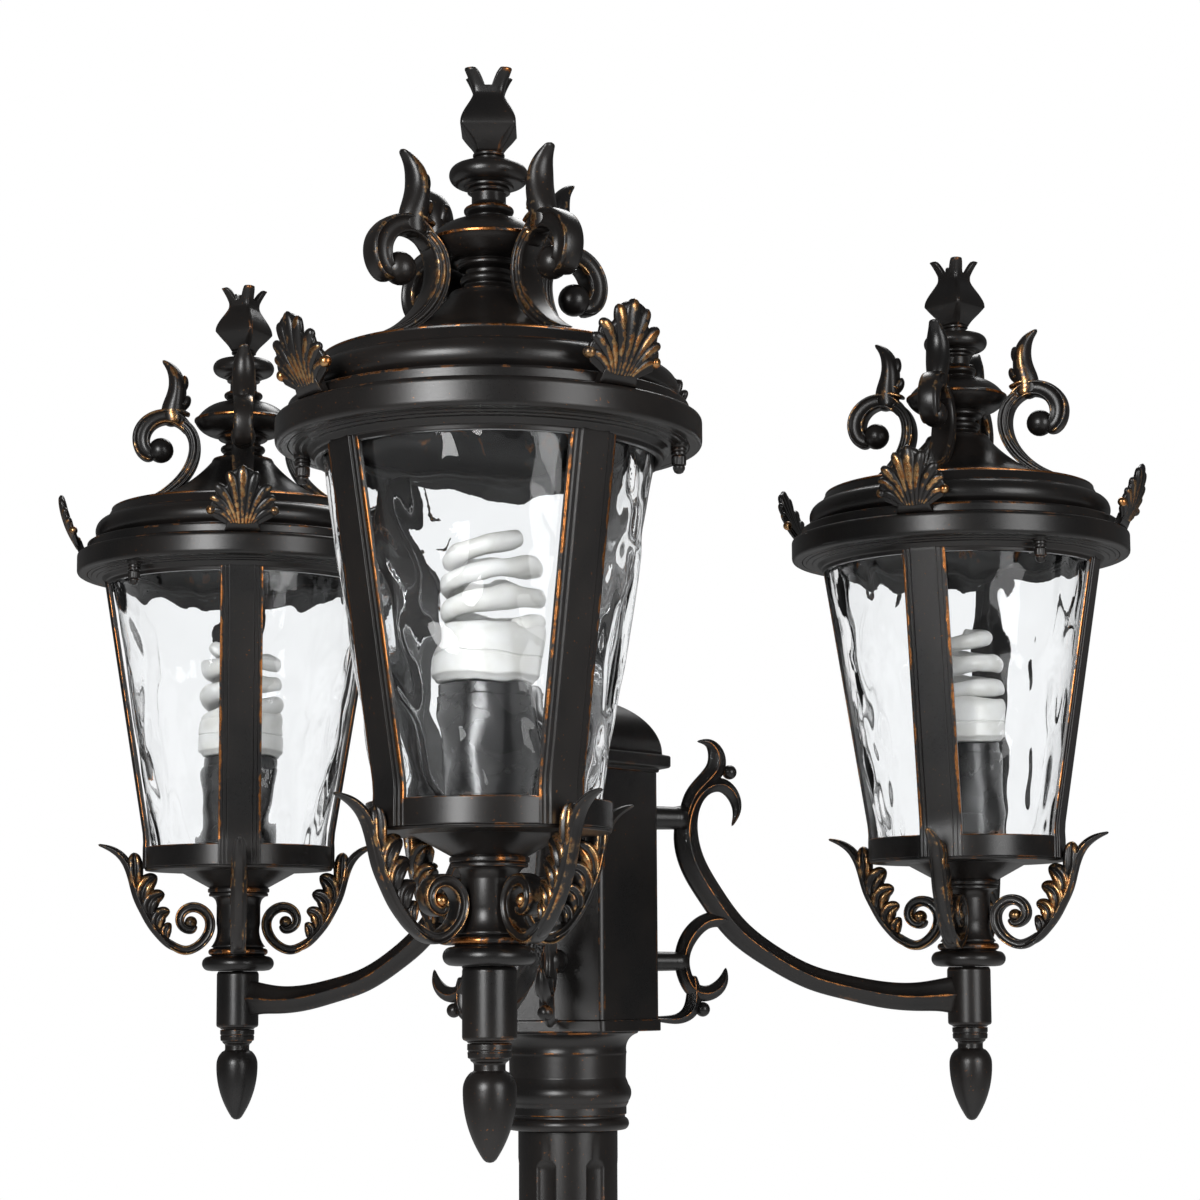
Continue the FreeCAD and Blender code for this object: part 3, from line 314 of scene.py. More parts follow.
def rubbed(shape, low, high, most):
    # twice the drop of a neighbour below the tangent plane over the edge squared is the curvature, 1/mm;
    # sharp edges are rubbed up to most, and the drawn lines as they say
    co = shape.co
    a, b, c, d = (co[shape.quads[:, k]] for k in range(4))
    normal = np.zeros_like(co)
    face = np.cross(c - a, d - b)
    for k in range(4):
        np.add.at(normal, shape.quads[:, k], face)
    if len(shape.tris):
        a, b, c = (co[shape.tris[:, k]] for k in range(3))
        face = np.cross(b - a, c - a)
        for k in range(3):
            np.add.at(normal, shape.tris[:, k], face)
    normal /= np.maximum(np.linalg.norm(normal, axis=1), 1e-12)[:, None]
    edge = edgesOf(shape)
    step = co[edge[:, 1]] - co[edge[:, 0]]
    square = np.maximum(np.einsum("ij,ij->i", step, step), 1e-4)
    bend = np.zeros(len(co))
    np.maximum.at(bend, edge[:, 0], -2 * np.einsum("ij,ij->i", normal[edge[:, 0]], step) / square)
    np.maximum.at(bend, edge[:, 1], 2 * np.einsum("ij,ij->i", normal[edge[:, 1]], step) / square)
    return np.maximum(most * smooth(low, high, bend), shape.line)


trianglesAdded = 0
plainEdge = (0.35, 1.1, 0.25)  # curvature where the rub starts, where it is full, and how bare it gets


def makePiece(name, shape, material, nodes, edge=plainEdge):
    global trianglesAdded
    mesh = bpy.data.meshes.new(name)
    mesh.vertices.add(len(shape.co))
    mesh.vertices.foreach_set("co", (shape.co * mm).astype(np.float32).ravel())
    corners = np.concatenate((shape.quads.ravel(), shape.tris.ravel())).astype(np.int32)
    sizes = np.concatenate((np.full(len(shape.quads), 4), np.full(len(shape.tris), 3)))
    mesh.loops.add(len(corners))
    mesh.loops.foreach_set("vertex_index", corners)
    mesh.polygons.add(len(sizes))
    mesh.polygons.foreach_set("loop_start", np.concatenate(([0], np.cumsum(sizes)[:-1])).astype(np.int32))
    mesh.polygons.foreach_set("use_smooth", np.ones(len(sizes), bool))
    wear = mesh.attributes.new("wear", "FLOAT", "POINT")
    wear.data.foreach_set("value", rubbed(shape, *edge).astype(np.float32))
    mesh.update(calc_edges=True)
    mesh.validate()
    mesh.materials.append(material)
    piece = bpy.data.objects.new(name, mesh)
    bpy.context.scene.collection.objects.link(piece)
    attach(piece, "root")
    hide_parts(*nodes)
    trianglesAdded += int((sizes - 2).sum())


def onLanterns(name, shape, material, nodes, edge=plainEdge, turns=None):
    # the same piece on each of the three lanterns
    for side in sides:
        seat, turn = seats[side]
        own = math.radians(turns[side]) if turns else 0.0
        placed = shape.turned(turn + own, seat / mm)
        makePiece(f"{name}_{side}", placed, material, [f"{n}_{side}" for n in nodes], edge)


# materials

class Wire:
    # one output socket; sums on it become Math nodes

    def __init__(self, tree, socket=None):
        self.tree, self.socket = tree, socket

    def node(self, kind, settings, sockets, out=0):
        made = self.tree.nodes.new("ShaderNode" + kind)
        for name, value in settings.items():
            setattr(made, name, value)
        for name, value in sockets.items():
            if isinstance(value, Wire):
                self.tree.links.new(value.socket, made.inputs[name])
            else:
                made.inputs[name].default_value = value
        return Wire(self.tree, made.outputs[out])

    def sum(self, operation, left, right):
        return self.node("Math", {"operation": operation}, {0: left, 1: right})

    def __add__(self, other):
        return self.sum("ADD", self, other)

    __radd__ = __add__

    def __sub__(self, other):
        return self.sum("SUBTRACT", self, other)

    def __mul__(self, other):
        return self.sum("MULTIPLY", self, other)

    __rmul__ = __mul__

    def top(self, other):
        return self.sum("MAXIMUM", self, other)

    def between(self, low, high):
        # 0 below low, 1 above high, smooth between them
        return self.node("MapRange", {"interpolation_type": "SMOOTHSTEP"},
                         {"Value": self, "From Min": low, "From Max": high})

    def blend(self, first, second):
        # two colours by this value
        return self.node("Mix", {"data_type": "RGBA"}, {0: self, 6: first, 7: second}, 2)

    def noise(self, scale, detail, rough=0.5):
        sockets = {"Vector": self, "Scale": scale, "Detail": detail, "Roughness": rough}
        return self.node("TexNoise", {}, sockets)

    def bump(self, strength, depth):
        return self.node("Bump", {}, {"Strength": strength, "Distance": depth, "Height": self})


noiseMean = 0.5
toneSpan = (0.3, 0.7)  # part of a noise over which one tone turns into the other


def newMaterial(name, fixed):
    material = bpy.data.materials.new(name)
    material.use_nodes = True
    tree = material.node_tree
    shader = tree.nodes["Principled BSDF"]
    for socket, value in fixed.items():
        shader.inputs[socket].default_value = value

    def feed(socket, value):
        tree.links.new(value.socket, shader.inputs[socket])

    return material, Wire(tree).node("TexCoord", {}, {}, "Object"), feed


def mixedWith(material, share, other):
    # the finished shader and another one, by share
    tree = material.node_tree
    own = Wire(tree, tree.nodes["Principled BSDF"].outputs[0])
    mixed = own.node("MixShader", {}, {0: share, 1: own, 2: other})
    tree.links.new(mixed.socket, tree.nodes["Material Output"].inputs["Surface"])


bronzeFinish = {
    "dark": (0.0048, 0.0044, 0.0044, 1), "brown": (0.0105, 0.0084, 0.0074, 1),
    "copper": (0.44, 0.160, 0.045, 1), "brass": (0.50, 0.33, 0.16, 1),
    "cloudScale": 16, "patchScale": 55, "scuffScale": 320, "grainScale": 1500, "speckScale": 520,
    "bareSpan": (0.60, 0.74), "wearReach": 0.20, "wearSpan": (0.04, 0.4), "scuffShare": 0.25,
    "scuffSpan": (0.3, 0.65), "speckSpan": (0.735, 0.77), "speckCloud": (0.42, 0.62),
    "metalSpan": (0.05, 0.6), "rough": 0.31, "roughGrain": 0.16, "roughCloud": 0.10, "roughBare": 0.05,
    "grainBump": 0.35, "grainDepth": 0.00012,
}


def bronzeMaterial(name, reach, brassShare, speck):
    # near-black satin coat: bare copper or brass in patches along the rubbed edges, fine specks and grain
    look = bronzeFinish
    material, place, feed = newMaterial(name, {"IOR": 1.5})
    wear = place.node("Attribute", {"attribute_name": "wear"}, {}, "Fac")
    cloud = place.noise(look["cloudScale"], 3)
    patch = place.noise(look["patchScale"], 4, 0.6)
    scuff = place.noise(look["scuffScale"], 3)
    grain = place.noise(look["grainScale"], 2)
    dots = place.noise(look["speckScale"], 1)
    thin = patch + look["scuffShare"] * (scuff - noiseMean) + look["wearReach"] * reach * wear
    rub = thin.between(*look["bareSpan"]) * wear.between(*look["wearSpan"])
    bare = rub.top(dots.between(*look["speckSpan"]) * cloud.between(*look["speckCloud"]) * speck)
    coat = cloud.between(*toneSpan).blend(look["dark"], look["brown"])
    metal = (scuff.between(*look["scuffSpan"]) * brassShare).blend(look["copper"], look["brass"])
    feed("Base Color", bare.blend(coat, metal))
    feed("Metallic", bare.between(*look["metalSpan"]))
    rough = look["rough"] + look["roughGrain"] * (grain - noiseMean)
    feed("Roughness", rough + look["roughCloud"] * (cloud - noiseMean) - look["roughBare"] * bare)
    feed("Normal", grain.bump(look["grainBump"], look["grainDepth"]))
    return material


glassLook = {
    "tint": (0.968, 0.978, 0.985, 1), "ior": 1.33, "rippleScale": 130, "rippleBump": 0.25,
    "rippleDepth": 0.0002,
}


def glassMaterial():
    # clear sheet with fine ripples; lamps shine through it without a hard shadow
    look = glassLook
    material, place, feed = newMaterial("waterGlass", {
        "Base Color": look["tint"], "Roughness": 0.0, "IOR": look["ior"], "Transmission Weight": 1.0,
    })
    feed("Normal", place.noise(look["rippleScale"], 2).bump(look["rippleBump"], look["rippleDepth"]))
    through = place.node("BsdfTransparent", {}, {"Color": look["tint"]})
    mixedWith(material, place.node("LightPath", {}, {}, "Is Shadow Ray"), through)
    return material


mottledLooks = {
    "lampEnamel": {  # white enamel and phosphor, faintly warm
        "fixed": {"IOR": 1.45}, "tones": ((0.56, 0.56, 0.55, 1), (0.47, 0.465, 0.44, 1)), "toneScale": 60,
        "rough": 0.30, "roughSpread": 0.1, "roughNoise": (300, 2),
    },
    "holderDark": {  # dark phenolic tube round the lampholder, with a fine grain
        "fixed": {"IOR": 1.5}, "tones": ((0.006, 0.006, 0.0063, 1), (0.014, 0.0135, 0.0135, 1)),
        "toneScale": 40, "rough": 0.27, "roughSpread": 0.2, "roughNoise": (40, 3), "grainNoise": (900, 2),
        "grain": (0.2, 0.0001),
    },
    "platedSteel": {  # fasteners
        "fixed": {"Metallic": 1.0}, "tones": ((0.30, 0.30, 0.31, 1), (0.42, 0.41, 0.40, 1)), "toneScale": 70,
        "rough": 0.34, "roughSpread": 0.2, "roughNoise": (800, 2),
    },
}


def mottledMaterial(name):
    # two close tones in soft clouds, and a sheen that varies a little
    look = mottledLooks[name]
    material, place, feed = newMaterial(name, look["fixed"])
    feed("Base Color", place.noise(look["toneScale"], 3).between(*toneSpan).blend(*look["tones"]))
    feed("Roughness", look["rough"] + look["roughSpread"] * (place.noise(*look["roughNoise"]) - noiseMean))
    if "grain" in look:
        feed("Normal", place.noise(*look["grainNoise"]).bump(*look["grain"]))
    return material


bronze = bronzeMaterial("bronzeCoat", 1.0, 0.15, 0.45)
bronzeOrnament = bronzeMaterial("bronzeOrnament", 1.1, 0.9, 0.3)
bronzeArm = bronzeMaterial("bronzeArm", 1.0, 0.25, 0.2)
glass = glassMaterial()
enamel, holderDark, steel = (mottledMaterial(name) for name in mottledLooks)
print("materials made")


# lantern: turned pieces, as (radius, height above the seat, rounding)

drop = {"ring": 14.4, "neck": 10.2, "belly": 17.3, "bellyAt": -80.0, "top": -49.2, "tip": -124.4}


def dropShape():
    # plain ring with a fine line, waisted neck and an acorn with a blunt point
    d = drop
    tip, belly, neck, ring = d["tip"], d["belly"], d["neck"], d["ring"]
    return latheShape(
        (0, tip), (2.4, tip + 0.5), (4.2, tip + 2.0),
        *arcTo((5.0, tip + 3.2), (belly, d["bellyAt"]), 3.1, 24),
        *arcTo((belly - 0.02, d["bellyAt"] + 1), (12.4, -67.4), 1.4, 12), (neck, -66.4, 0.9),
        (neck, -61.6, 1.4), (12.2, -60.2, 0.8), (12.5, -58.9, 0.5), (14.0, -58.2, 0.6),
        (ring - 0.1, -54.6, 0.5), (ring - 0.6, -54.2, 0.2), (ring - 0.6, -53.5, 0.2), (ring, -53.1, 0.4),
        (ring, d["top"], 0.6), (0, d["top"]), count=72,
    )


cup = {"bead": 24.2, "bulge": 6.1, "waist": 18.5, "neck": 26.0, "shoulder": 50.0, "funnel": 79.4, "top": 86.9}


def cupShape():
    # bead, gilt torus, waisted column, two fine rings, cone and a flat shoulder with a dished top
    c = cup
    bead, waist, neck, funnel, top = c["bead"], c["waist"], c["neck"], c["funnel"], c["top"]
    return latheShape(
        (5.2, 0.1), (22, 0.1, 0.8), *arcTo((bead, 0.4), (bead, 12.6), c["bulge"], 18),
        (22.4, 13.2, 0.4), *arcTo((22.4, 13.4), (21.8, 19.2), 3.0, 10), (20.9, 20.0, 0.3),
        *arcTo((22.8, 20.6), (waist, 40), -2.4, 10), (waist, 56, 1),
        *arcTo((waist + 0.2, 57), (22.6, 63.0), -0.9, 6), (25, 63.4, 0.5), (25, 65.6, 0.6), (24, 66.1, 0.3),
        (neck, 66.7, 0.6), (neck, 69.6, 0.7), (24.6, 70.3, 0.5), (c["shoulder"], top - 2.6, 2.0),
        (funnel - 0.6, top - 1.9, 0.5), (funnel, top, 0.4), (42, top, 0.5), (33, 80, 2), (5.2, 80),
        closed=True, rub=((13.9, 18.6, 0.85), (66.5, 70.5, 0.3)),
    )


roof = {
    "rim": 139.95, "low": 337.0, "step": 131.6, "torus": 121.4, "torusTop": 117.0, "lip": 110.6,
    "throat": 27.0, "throatTop": 437.6, "top": 439.9,
}


def roofShape():
    # rim with round edges, step, undercut torus, short slope, rubbed lip and hollow trumpet, open underneath
    r = roof
    rim, low, step, torus, ledge, lip = r["rim"], r["low"], r["step"], r["torus"], r["torusTop"], r["lip"]
    return latheShape(
        (118, low + 5.2), (131.4, low + 5.2), (131.4, low, 0.5), (rim, low, 4.2), (rim, low + 18.4, 4.2),
        (step + 1.6, low + 18.6, 0.5), (step + 1.3, low + 19.4, 0.4), (step, low + 20, 0.5),
        (step, low + 27.2, 1.8), (torus + 0.4, low + 28, 1.2), (torus - 0.8, low + 29, 0.8),
        *arcTo((torus, low + 29.8), (ledge, low + 47.8), 5.4, 24), (ledge - 0.8, low + 48.6, 0.4),
        (ledge - 1.8, low + 48.8, 0.5), (lip + 0.8, low + 55.6, 0.6), (lip + 0.9, low + 57.4, 0.7),
        (lip - 1.6, low + 58.4, 0.7),
        *arcTo((lip - 4, low + 58.2), (r["throat"], r["throatTop"]), -8.5, 28),
        (r["throat"] - 0.8, r["top"], 0.6), (5.3, r["top"]), (5.3, 432), (24, 432, 1),
        *arcTo((25, 431.4), (100, low + 53.6), 8.5, 18), (116, low + 30, 3), count=144, closed=True, rub=(
            (low + 56.2, low + 58.6, 0.95), (low + 48.4, low + 49.2, 0.4),
            (low + 25.6, low + 27.5, 0.3), (low + 17, low + 18.5, 0.2),
        ),
    )


finial = {"neck": 16.8, "bowl": 42.0, "bowlEdge": 474.5, "disc": 26.4, "flare": 15.6, "low": 440.0}
finialTurn = {"front": 8.0, "right": 22.0, "left": 14.0}
bud = [  # height, half side, corner cut
    (536.2, 8.4, 2.4), (540.2, 10.6, 3.6), (546.4, 14.9, 3.8), (552.6, 18.4, 1.8), (555.2, 18.3, 2.0),
    (560, 17.2, 3.0), (566, 14.6, 3.8), (571, 11.9, 3.2), (575, 10.3, 2.4), (578.6, 10.2, 2.2),
]
crown = {"low": 576.0, "notch": 580.8, "top": 591.9, "wall": 3.4, "squareness": 7, "petalSpan": (0.2, 0.62),
         "rub": 0.7, "rubSpan": (0.5, 0.9),
         "flare": [(576, 10.2), (580, 10.9), (584, 12.4), (588, 14.2), (592, 16.2)]}


def crownShape():
    # square tube that flares; its rim dips to a notch half way along each side and rises to corner petals
    c = crown
    turn = fullTurn(96)[None, :]
    aside = abs(np.tan((turn + math.pi / 4) % (math.pi / 2) - math.pi / 4))
    power = c["squareness"]
    square = (abs(np.cos(turn)) ** power + abs(np.sin(turn)) ** power) ** (-1 / power)
    rim = c["notch"] + (c["top"] - c["notch"]) * smooth(*c["petalSpan"], aside)
    flare = np.array(c["flare"])

    def wall(share, inset):
        z = c["low"] + (rim - c["low"]) * share
        return polar((np.interp(z, flare[:, 0], flare[:, 1]) - inset) * square, turn, z)

    rows = np.concatenate((np.array((0, 0.02)), np.linspace(0.12, 0.96, 9)))[:, None]
    outer, inner = wall(rows, 0), wall(rows[::-1][:-1], c["wall"])
    edge = wall(np.array(((1.0,),)), 0.5 * c["wall"])
    points = np.concatenate((polar(0, turn, c["low"]), outer, edge, inner, polar(0, turn, c["low"] + 1)))
    line = np.zeros(points.shape[:2])
    line[len(rows) - 1:len(rows) + 3] = c["rub"] * smooth(*c["rubSpan"], aside)
    return gridShape(points, line=line)


nearAxis = 1e-3  # half width of an end row that closes a many-sided shape


def finialShape():
    # turned stack, four-sided bud with cut corners, and a notched crown that curls out
    f = finial
    edge, low, neck, bowl, flare = f["bowlEdge"], f["low"], f["neck"], f["bowl"], f["flare"]
    stack = latheShape(
        (0, low - 5), (5, low - 5), (5, low), (neck + 9, low, 0.6),
        *arcTo((neck + 8.6, low + 0.8), (neck - 0.6, low + 5.6), -1.4, 8),
        *arcTo((neck - 0.4, low + 6.4), (neck - 0.4, low + 12.4), 2.8, 10), (neck - 1.8, low + 13.2, 0.5),
        (neck - 1.6, low + 15.8, 0.8), (neck + 2.6, low + 17, 0.5), (neck + 4.4, low + 18.2, 0.6),
        (neck + 4.4, low + 19.8, 0.5), (neck + 5.4, low + 20.6, 0.5),
        *arcTo((neck + 5.8, low + 21.4), (bowl - 0.5, edge - 1.4), 3.4, 14),
        (bowl, edge - 0.9, 0.4), (bowl, edge + 0.9, 0.6), (bowl - 1.8, edge + 1.3, 0.4),
        *arcTo((bowl - 2.2, edge + 1.6), (17.4, 490.4), 3.0, 16),
        (14.2, 490.8, 0.5), (13.2, 492.8, 0.8), (flare - 0.6, 494.4, 0.6),
        *arcTo((flare, 495), (flare - 0.4, 499.4), 1.2, 8), (12.6, 500.4, 0.6), (11.4, 502, 0.8),
        (11.4, 508.6, 0.6), (14.2, 509.4, 0.5), (14.2, 511.2, 0.5), (13.4, 511.6, 0.2), (16.4, 512.4, 0.5),
        (16.4, 514, 0.4), *arcTo((19.4, 514.6), (19.4, 528.2), f["disc"] - 19.4, 20), (12.6, 529.4, 0.6),
        (9, 530.4, 0.6), (8.8, 533.4, 0.5), (10.6, 534.2, 0.5), (10.6, 536, 0.5), (0, 536.6), count=88,
        rub=((edge - 1.2, edge + 1.4, 0.8), (497, 499.2, 0.5), (low + 18, low + 20.2, 0.35)),
    )
    rows = np.array(bud)
    rings = np.concatenate((rows[:1], curveThrough(rows[:4], 12)[:-1], curveThrough(rows[3:], 24), rows[-1:]))
    rings[[0, -1], 1:] = nearAxis, 0
    body = manySided(4, rings[:, (1, 0)], rings[:, 2], 3, math.pi / 4)
    return joined([stack, body, crownShape()])


onLanterns("dropFinial", dropShape(), bronze, ["drop_finial"])
onLanterns("cupFunnel", cupShape(), bronze, ["cup"])
onLanterns("roofShell", roofShape(), bronze, ["roof"])
onLanterns("roofFinial", finialShape(), bronze, ["finial"], turns=finialTurn)
print("turned pieces made")


# lantern: cage and panes

cage = {
    "low": 105.0, "lowRadius": 78.4, "high": 337.0, "highRadius": 116.0, "band": 80.0, "bandLow": 87.0,
    "barHalf": 17.5, "landA": 13.9, "landB": 10.4, "stud": 125.0, "footLean": 0.16,
}


def wallRadius(z):
    rise = (cage["highRadius"] - cage["lowRadius"]) * (z - cage["low"])
    return cage["lowRadius"] + rise / (cage["high"] - cage["low"])


def barShape():
    # stepped section (across, proud) carried up the leaning wall; its foot turns down over the band
    c = cage
    half, landA, landB, low = c["barHalf"], c["landA"], c["landB"], c["low"]
    upper = profileThrough(
        (half - 1.6, -4.2), (half, -4.2, 0.4), (half, -2.3), (half, -1.5, 0.4), (half - 0.9, -1.1, 0.3),
        (landA + 0.5, -1.1, 0.2), (landA, -0.2, 0.35), (landB + 0.6, -0.2, 0.2), (landB, 0.9, 0.45),
        (0, 0.9), steps=4,
    )
    section = np.concatenate((upper, upper[-2::-1] * (-1, 1)))
    foot = np.array((c["bandLow"] + 0.1, c["bandLow"] + 0.5, low - 9, low - 1.6, low + 0.4))
    z = np.concatenate((foot, np.linspace(low + 4, c["high"] - 0.6, 30)))
    lean = wallRadius(z) + (c["band"] - c["lowRadius"]) * smooth(low + 9, low - 2, z)
    lean += (low - np.minimum(z, low)) * c["footLean"]
    across = section[None, :, 0] + 0 * z[:, None]
    proud = section[None, :, 1] + lean[:, None]
    rim = np.where(abs(section[:, 0]) > half - 1.5, 1.0, 0.0) * (section[:, 1] > -2.1)
    points = capped(np.stack((across, -proud, z[:, None] + 0 * across), -1))
    return gridShape(points, line=rim * smooth(low - 4, low + 4, points[:, :1, 2]))


def onStuds(shape):
    return [shape.turned(0, (side * cage["stud"], 0, 0)) for side in (1, -1)]


def cageShape():
    # four bars, foot band, head band, stepped flange and two threaded bosses
    c = cage
    band, bandLow, low, top = c["band"], c["bandLow"], c["low"], c["high"]
    foot = latheShape(
        (71, bandLow + 0.1), (band - 0.3, bandLow + 0.1, 0.9), (band - 0.1, low - 0.4, 0.9),
        (band - 2.4, low, 0.6), (74, low, 0.4), count=128, closed=True,
        rub=((low - 0.9, low + 0.1, 0.75), (bandLow, bandLow + 0.8, 0.2)),
    )
    inside, outside = wallRadius(327.6), wallRadius(330)
    head = latheShape(
        (inside - 4, 327.6), (inside - 0.2, 327.6, 0.5), (outside, 330.4, 0.4), (outside + 1.2, 331, 0.5),
        (117.6, 333.4, 0.5), (118.6, 334.8, 0.5), (122.6, 334.8, 0.5), (123.4, 335.9, 0.4),
        (127.4, 335.9, 0.5), (128, top, 0.3), (131, top, 0.4), (131, top + 5), (104, top + 5), (104, top),
        (112, top - 0.4), count=144, closed=True,
    )
    boss = latheShape(
        (2.8, 329.2), (5.1, 329.2, 0.4), (5.3, 331, 0.4), (4.7, 331.5, 0.3), (5.4, 332, 0.4),
        (5.4, 333.6, 0.4), (4.8, 334.1, 0.3), (5.6, 334.6, 0.4), (6.4, 337.4, 0.5), (2.8, 337.4), count=32,
        closed=True,
    )
    return joined([ringed(barShape(), 4, math.pi / 4), foot, head] + onStuds(boss))


nut = {"top": 329.0, "height": 12.0, "teeth": 18, "knurl": 0.16}


def nutShape():
    # knurled ring and a small acorn, drawn for the bosses left and right
    top, tip = nut["top"], nut["top"] - nut["height"]
    turn = fullTurn(72)
    profile = profileThrough(
        (0, tip), (1.4, tip + 0.15), (2.9, tip + 1.0), (3.9, top - 9), (4.1, top - 7.4, 0.4),
        (3.4, top - 6.8, 0.3), (4.6, top - 6.4, 0.4), (4.8, top - 1, 0.4), (4.2, top - 0.1, 0.3),
        (0, top - 0.1),
    )
    r, z = profile[:, :1], profile[:, 1:]
    knurl = nut["knurl"] * smooth(top - 6.6, top - 6, z) * np.cos(nut["teeth"] * turn)
    return joined(onStuds(gridShape(polar(np.maximum(r + knurl * (r > 3), 0), turn, z))))


pane = {
    "span": 84.0, "gap": 4.3, "low": 87.2, "high": 336.7, "rows": 118, "cols": 76, "meanRadius": 100,
    "edgeFade": 7, "waves": 20, "shortest": 17.0, "longest": 70.0, "outer": 1.35, "inner": 0.7,
    "inset": 3.7, "longWeight": 1.1, "upStretch": 0.62, "crest": 0.9, "seed": 40, "lanternSeed": 10,
}


def waveField(draw, around, up):
    # sum of cosines of chance length and direction, flattened at the crests like drawn glass
    p = pane
    length = draw.uniform(p["shortest"], p["longest"], p["waves"])
    heading = draw.uniform(0, math.pi, p["waves"])
    phase = draw.uniform(0, 2 * math.pi, p["waves"])
    weight = (length / p["longest"]) ** p["longWeight"]
    flow = np.cos(heading) * around[..., None] + p["upStretch"] * np.sin(heading) * up[..., None]
    field = (weight * np.cos(2 * math.pi / length * flow + phase)).sum(-1) / np.sqrt((weight ** 2).sum() / 2)
    return np.tanh(p["crest"] * field)


def paneShape(seed):
    # outer and inner sheets on the leaning wall, each with its own waves that die out at the edges
    p = pane
    draw = np.random.default_rng(seed)
    angle = np.radians(np.linspace(-p["span"] / 2, p["span"] / 2, p["cols"]))[None, :] - math.pi / 2
    z = np.linspace(p["low"], p["high"], p["rows"])[:, None]
    base = wallRadius(z) - p["gap"] + 0 * angle - p["outer"]
    around, up = (angle + math.pi / 2) * p["meanRadius"] + 0 * z, z + 0 * angle
    edge = smooth(0, p["edgeFade"], p["high"] - z) * smooth(0, p["edgeFade"], z - p["low"])
    outer, inner = (polar(place + depth * edge * waveField(draw, around, up), angle, up)
                    for place, depth in ((base, p["outer"]), (base - p["inset"], p["inner"])))
    return slabShape(outer, inner)


onLanterns("cageBars", cageShape(), bronze, ["cage"], (0.45, 1.3, 0.08))
onLanterns("capNuts", nutShape(), bronze, ["cap_nuts"])
for order, side in enumerate(sides):
    seat, turn = seats[side]
    seed = pane["seed"] + pane["lanternSeed"] * order
    panes = joined([paneShape(seed + k).turned(k * math.pi / 2) for k in range(4)])
    makePiece(f"wavyPanes_{side}", panes.turned(turn, seat / mm), glass,
              [f"glass_panes_{side}"])
print("cages and panes made")


# lantern: cast ornament, each drawn in its own upright plane as (out, up, width, depth)

strap = loopOf([  # scroll strap: raised rims and a hollow between them
    (1, 0, 0.2), (0.98, 0.55, 0.2), (0.88, 0.92, 0.5), (0.74, 1, 0.7), (0.6, 0.9, 0.3), (0.45, 0.74, 0),
    (0.2, 0.68, 0), (0, 0.67, 0),
])
blade = loopOf([  # leaf: sharp rims, a hollow each side of a raised vein
    (1, 0, 0.05), (0.93, 0.42, 0.2), (0.8, 0.62, 0.3), (0.55, 0.7, 0), (0.3, 0.78, 0), (0.14, 0.95, 0.3),
    (0, 1, 0.6),
])
stout = loopOf([  # plump bar with a soft ridge
    (1, 0, 0), (0.95, 0.3, 0), (0.8, 0.58, 0), (0.55, 0.82, 0), (0.25, 0.96, 0.25), (0, 1, 0.5),
])
lobe = loopOf([  # acanthus lobe: two plump folds with a crease between them
    (1, 0, 0.1), (0.94, 0.42, 0.3), (0.76, 0.8, 0.6), (0.5, 1, 0.9), (0.26, 0.92, 0.5), (0.1, 0.72, 0),
    (0, 0.64, 0),
])
ribbed = loopOf([  # flat strap with three fine ridges on each face
    (1, 0, 0.05), (0.98, 0.6, 0.1), (0.9, 0.96, 0.25), (0.74, 1, 0.25), (0.6, 0.86, 0), (0.42, 0.84, 0),
    (0.24, 0.96, 0.15), (0, 1, 0.2),
])

bracket = {
    "volute": [(36, 39.4, 4.2, 11), (38.4, 34.9, 5.6, 12), (44.8, 35.8, 6.8, 12.5), (49.2, 42.2, 7.6, 13),
               (46.8, 50.2, 8.4, 13), (38, 54.2, 8.8, 13), (28.8, 50.6, 8.8, 13), (24, 42.6, 8.8, 13),
               (24.4, 34.6, 8.8, 13), (29.6, 25.4, 8.4, 13), (36.8, 19.8, 8, 13), (43.8, 17.8, 8, 13),
               (50.8, 19.6, 7.6, 13), (60, 26, 5.5, 11)],
    "spine": [(47, 17.6, 5, 10), (57, 22.4, 7, 12.5), (65.2, 30.2, 7.8, 13), (72.8, 39.8, 8, 13),
              (79.2, 51.2, 8.2, 13), (84.4, 62.4, 8.6, 13), (89, 78, 8.4, 12.5), (98.8, 97.4, 7, 11),
              (108.2, 103.8, 5, 8.5), (118.6, 107.2, 1.8, 4.5)],
    "lobes": [
        [(84.2, 68, 7, 9), (86.8, 81, 11, 12.6), (87.6, 93, 10.4, 12), (88.8, 100.6, 6, 8)],
        [(79.6, 56, 8, 9.5), (80.6, 67.4, 13, 13.6), (75.6, 76, 12.4, 13), (68.6, 80.6, 6, 8)],
        [(74.2, 46, 8, 9.5), (75, 56.4, 13, 13.6), (69.8, 63, 11.4, 12.4), (62, 65, 5.4, 7)],
        [(67.4, 34.6, 7, 9), (68, 44, 12, 12.8), (63.6, 49.4, 9.8, 11), (57.4, 50.6, 4.6, 6)],
        [(60.6, 27, 5.5, 8), (61, 34, 8.4, 9.6), (58.4, 38.8, 6, 7.4), (56.4, 40.6, 3, 4)],
    ],
    "eye": (39.9, 41.4, 5.3, 7.4), "plump": 1.18, "eyeRub": 0.7,
}


def bracketShape():
    # volute strap, outer spine that curls out at its tip, overlapping leaf lobes and a ball in the eye
    b = bracket
    parts = [alongCurve(b["volute"], strap, 96, 0.5, 0.3), alongCurve(b["spine"], blade, 60, 0.4, 0.8)]
    for marks in b["lobes"]:
        parts.append(alongCurve(np.array(marks) * (1, 1, b["plump"], 1), lobe, 30, 0.3, 0.55))
    return joined(parts + [ballShape(*b["eye"], line=b["eyeRub"])])


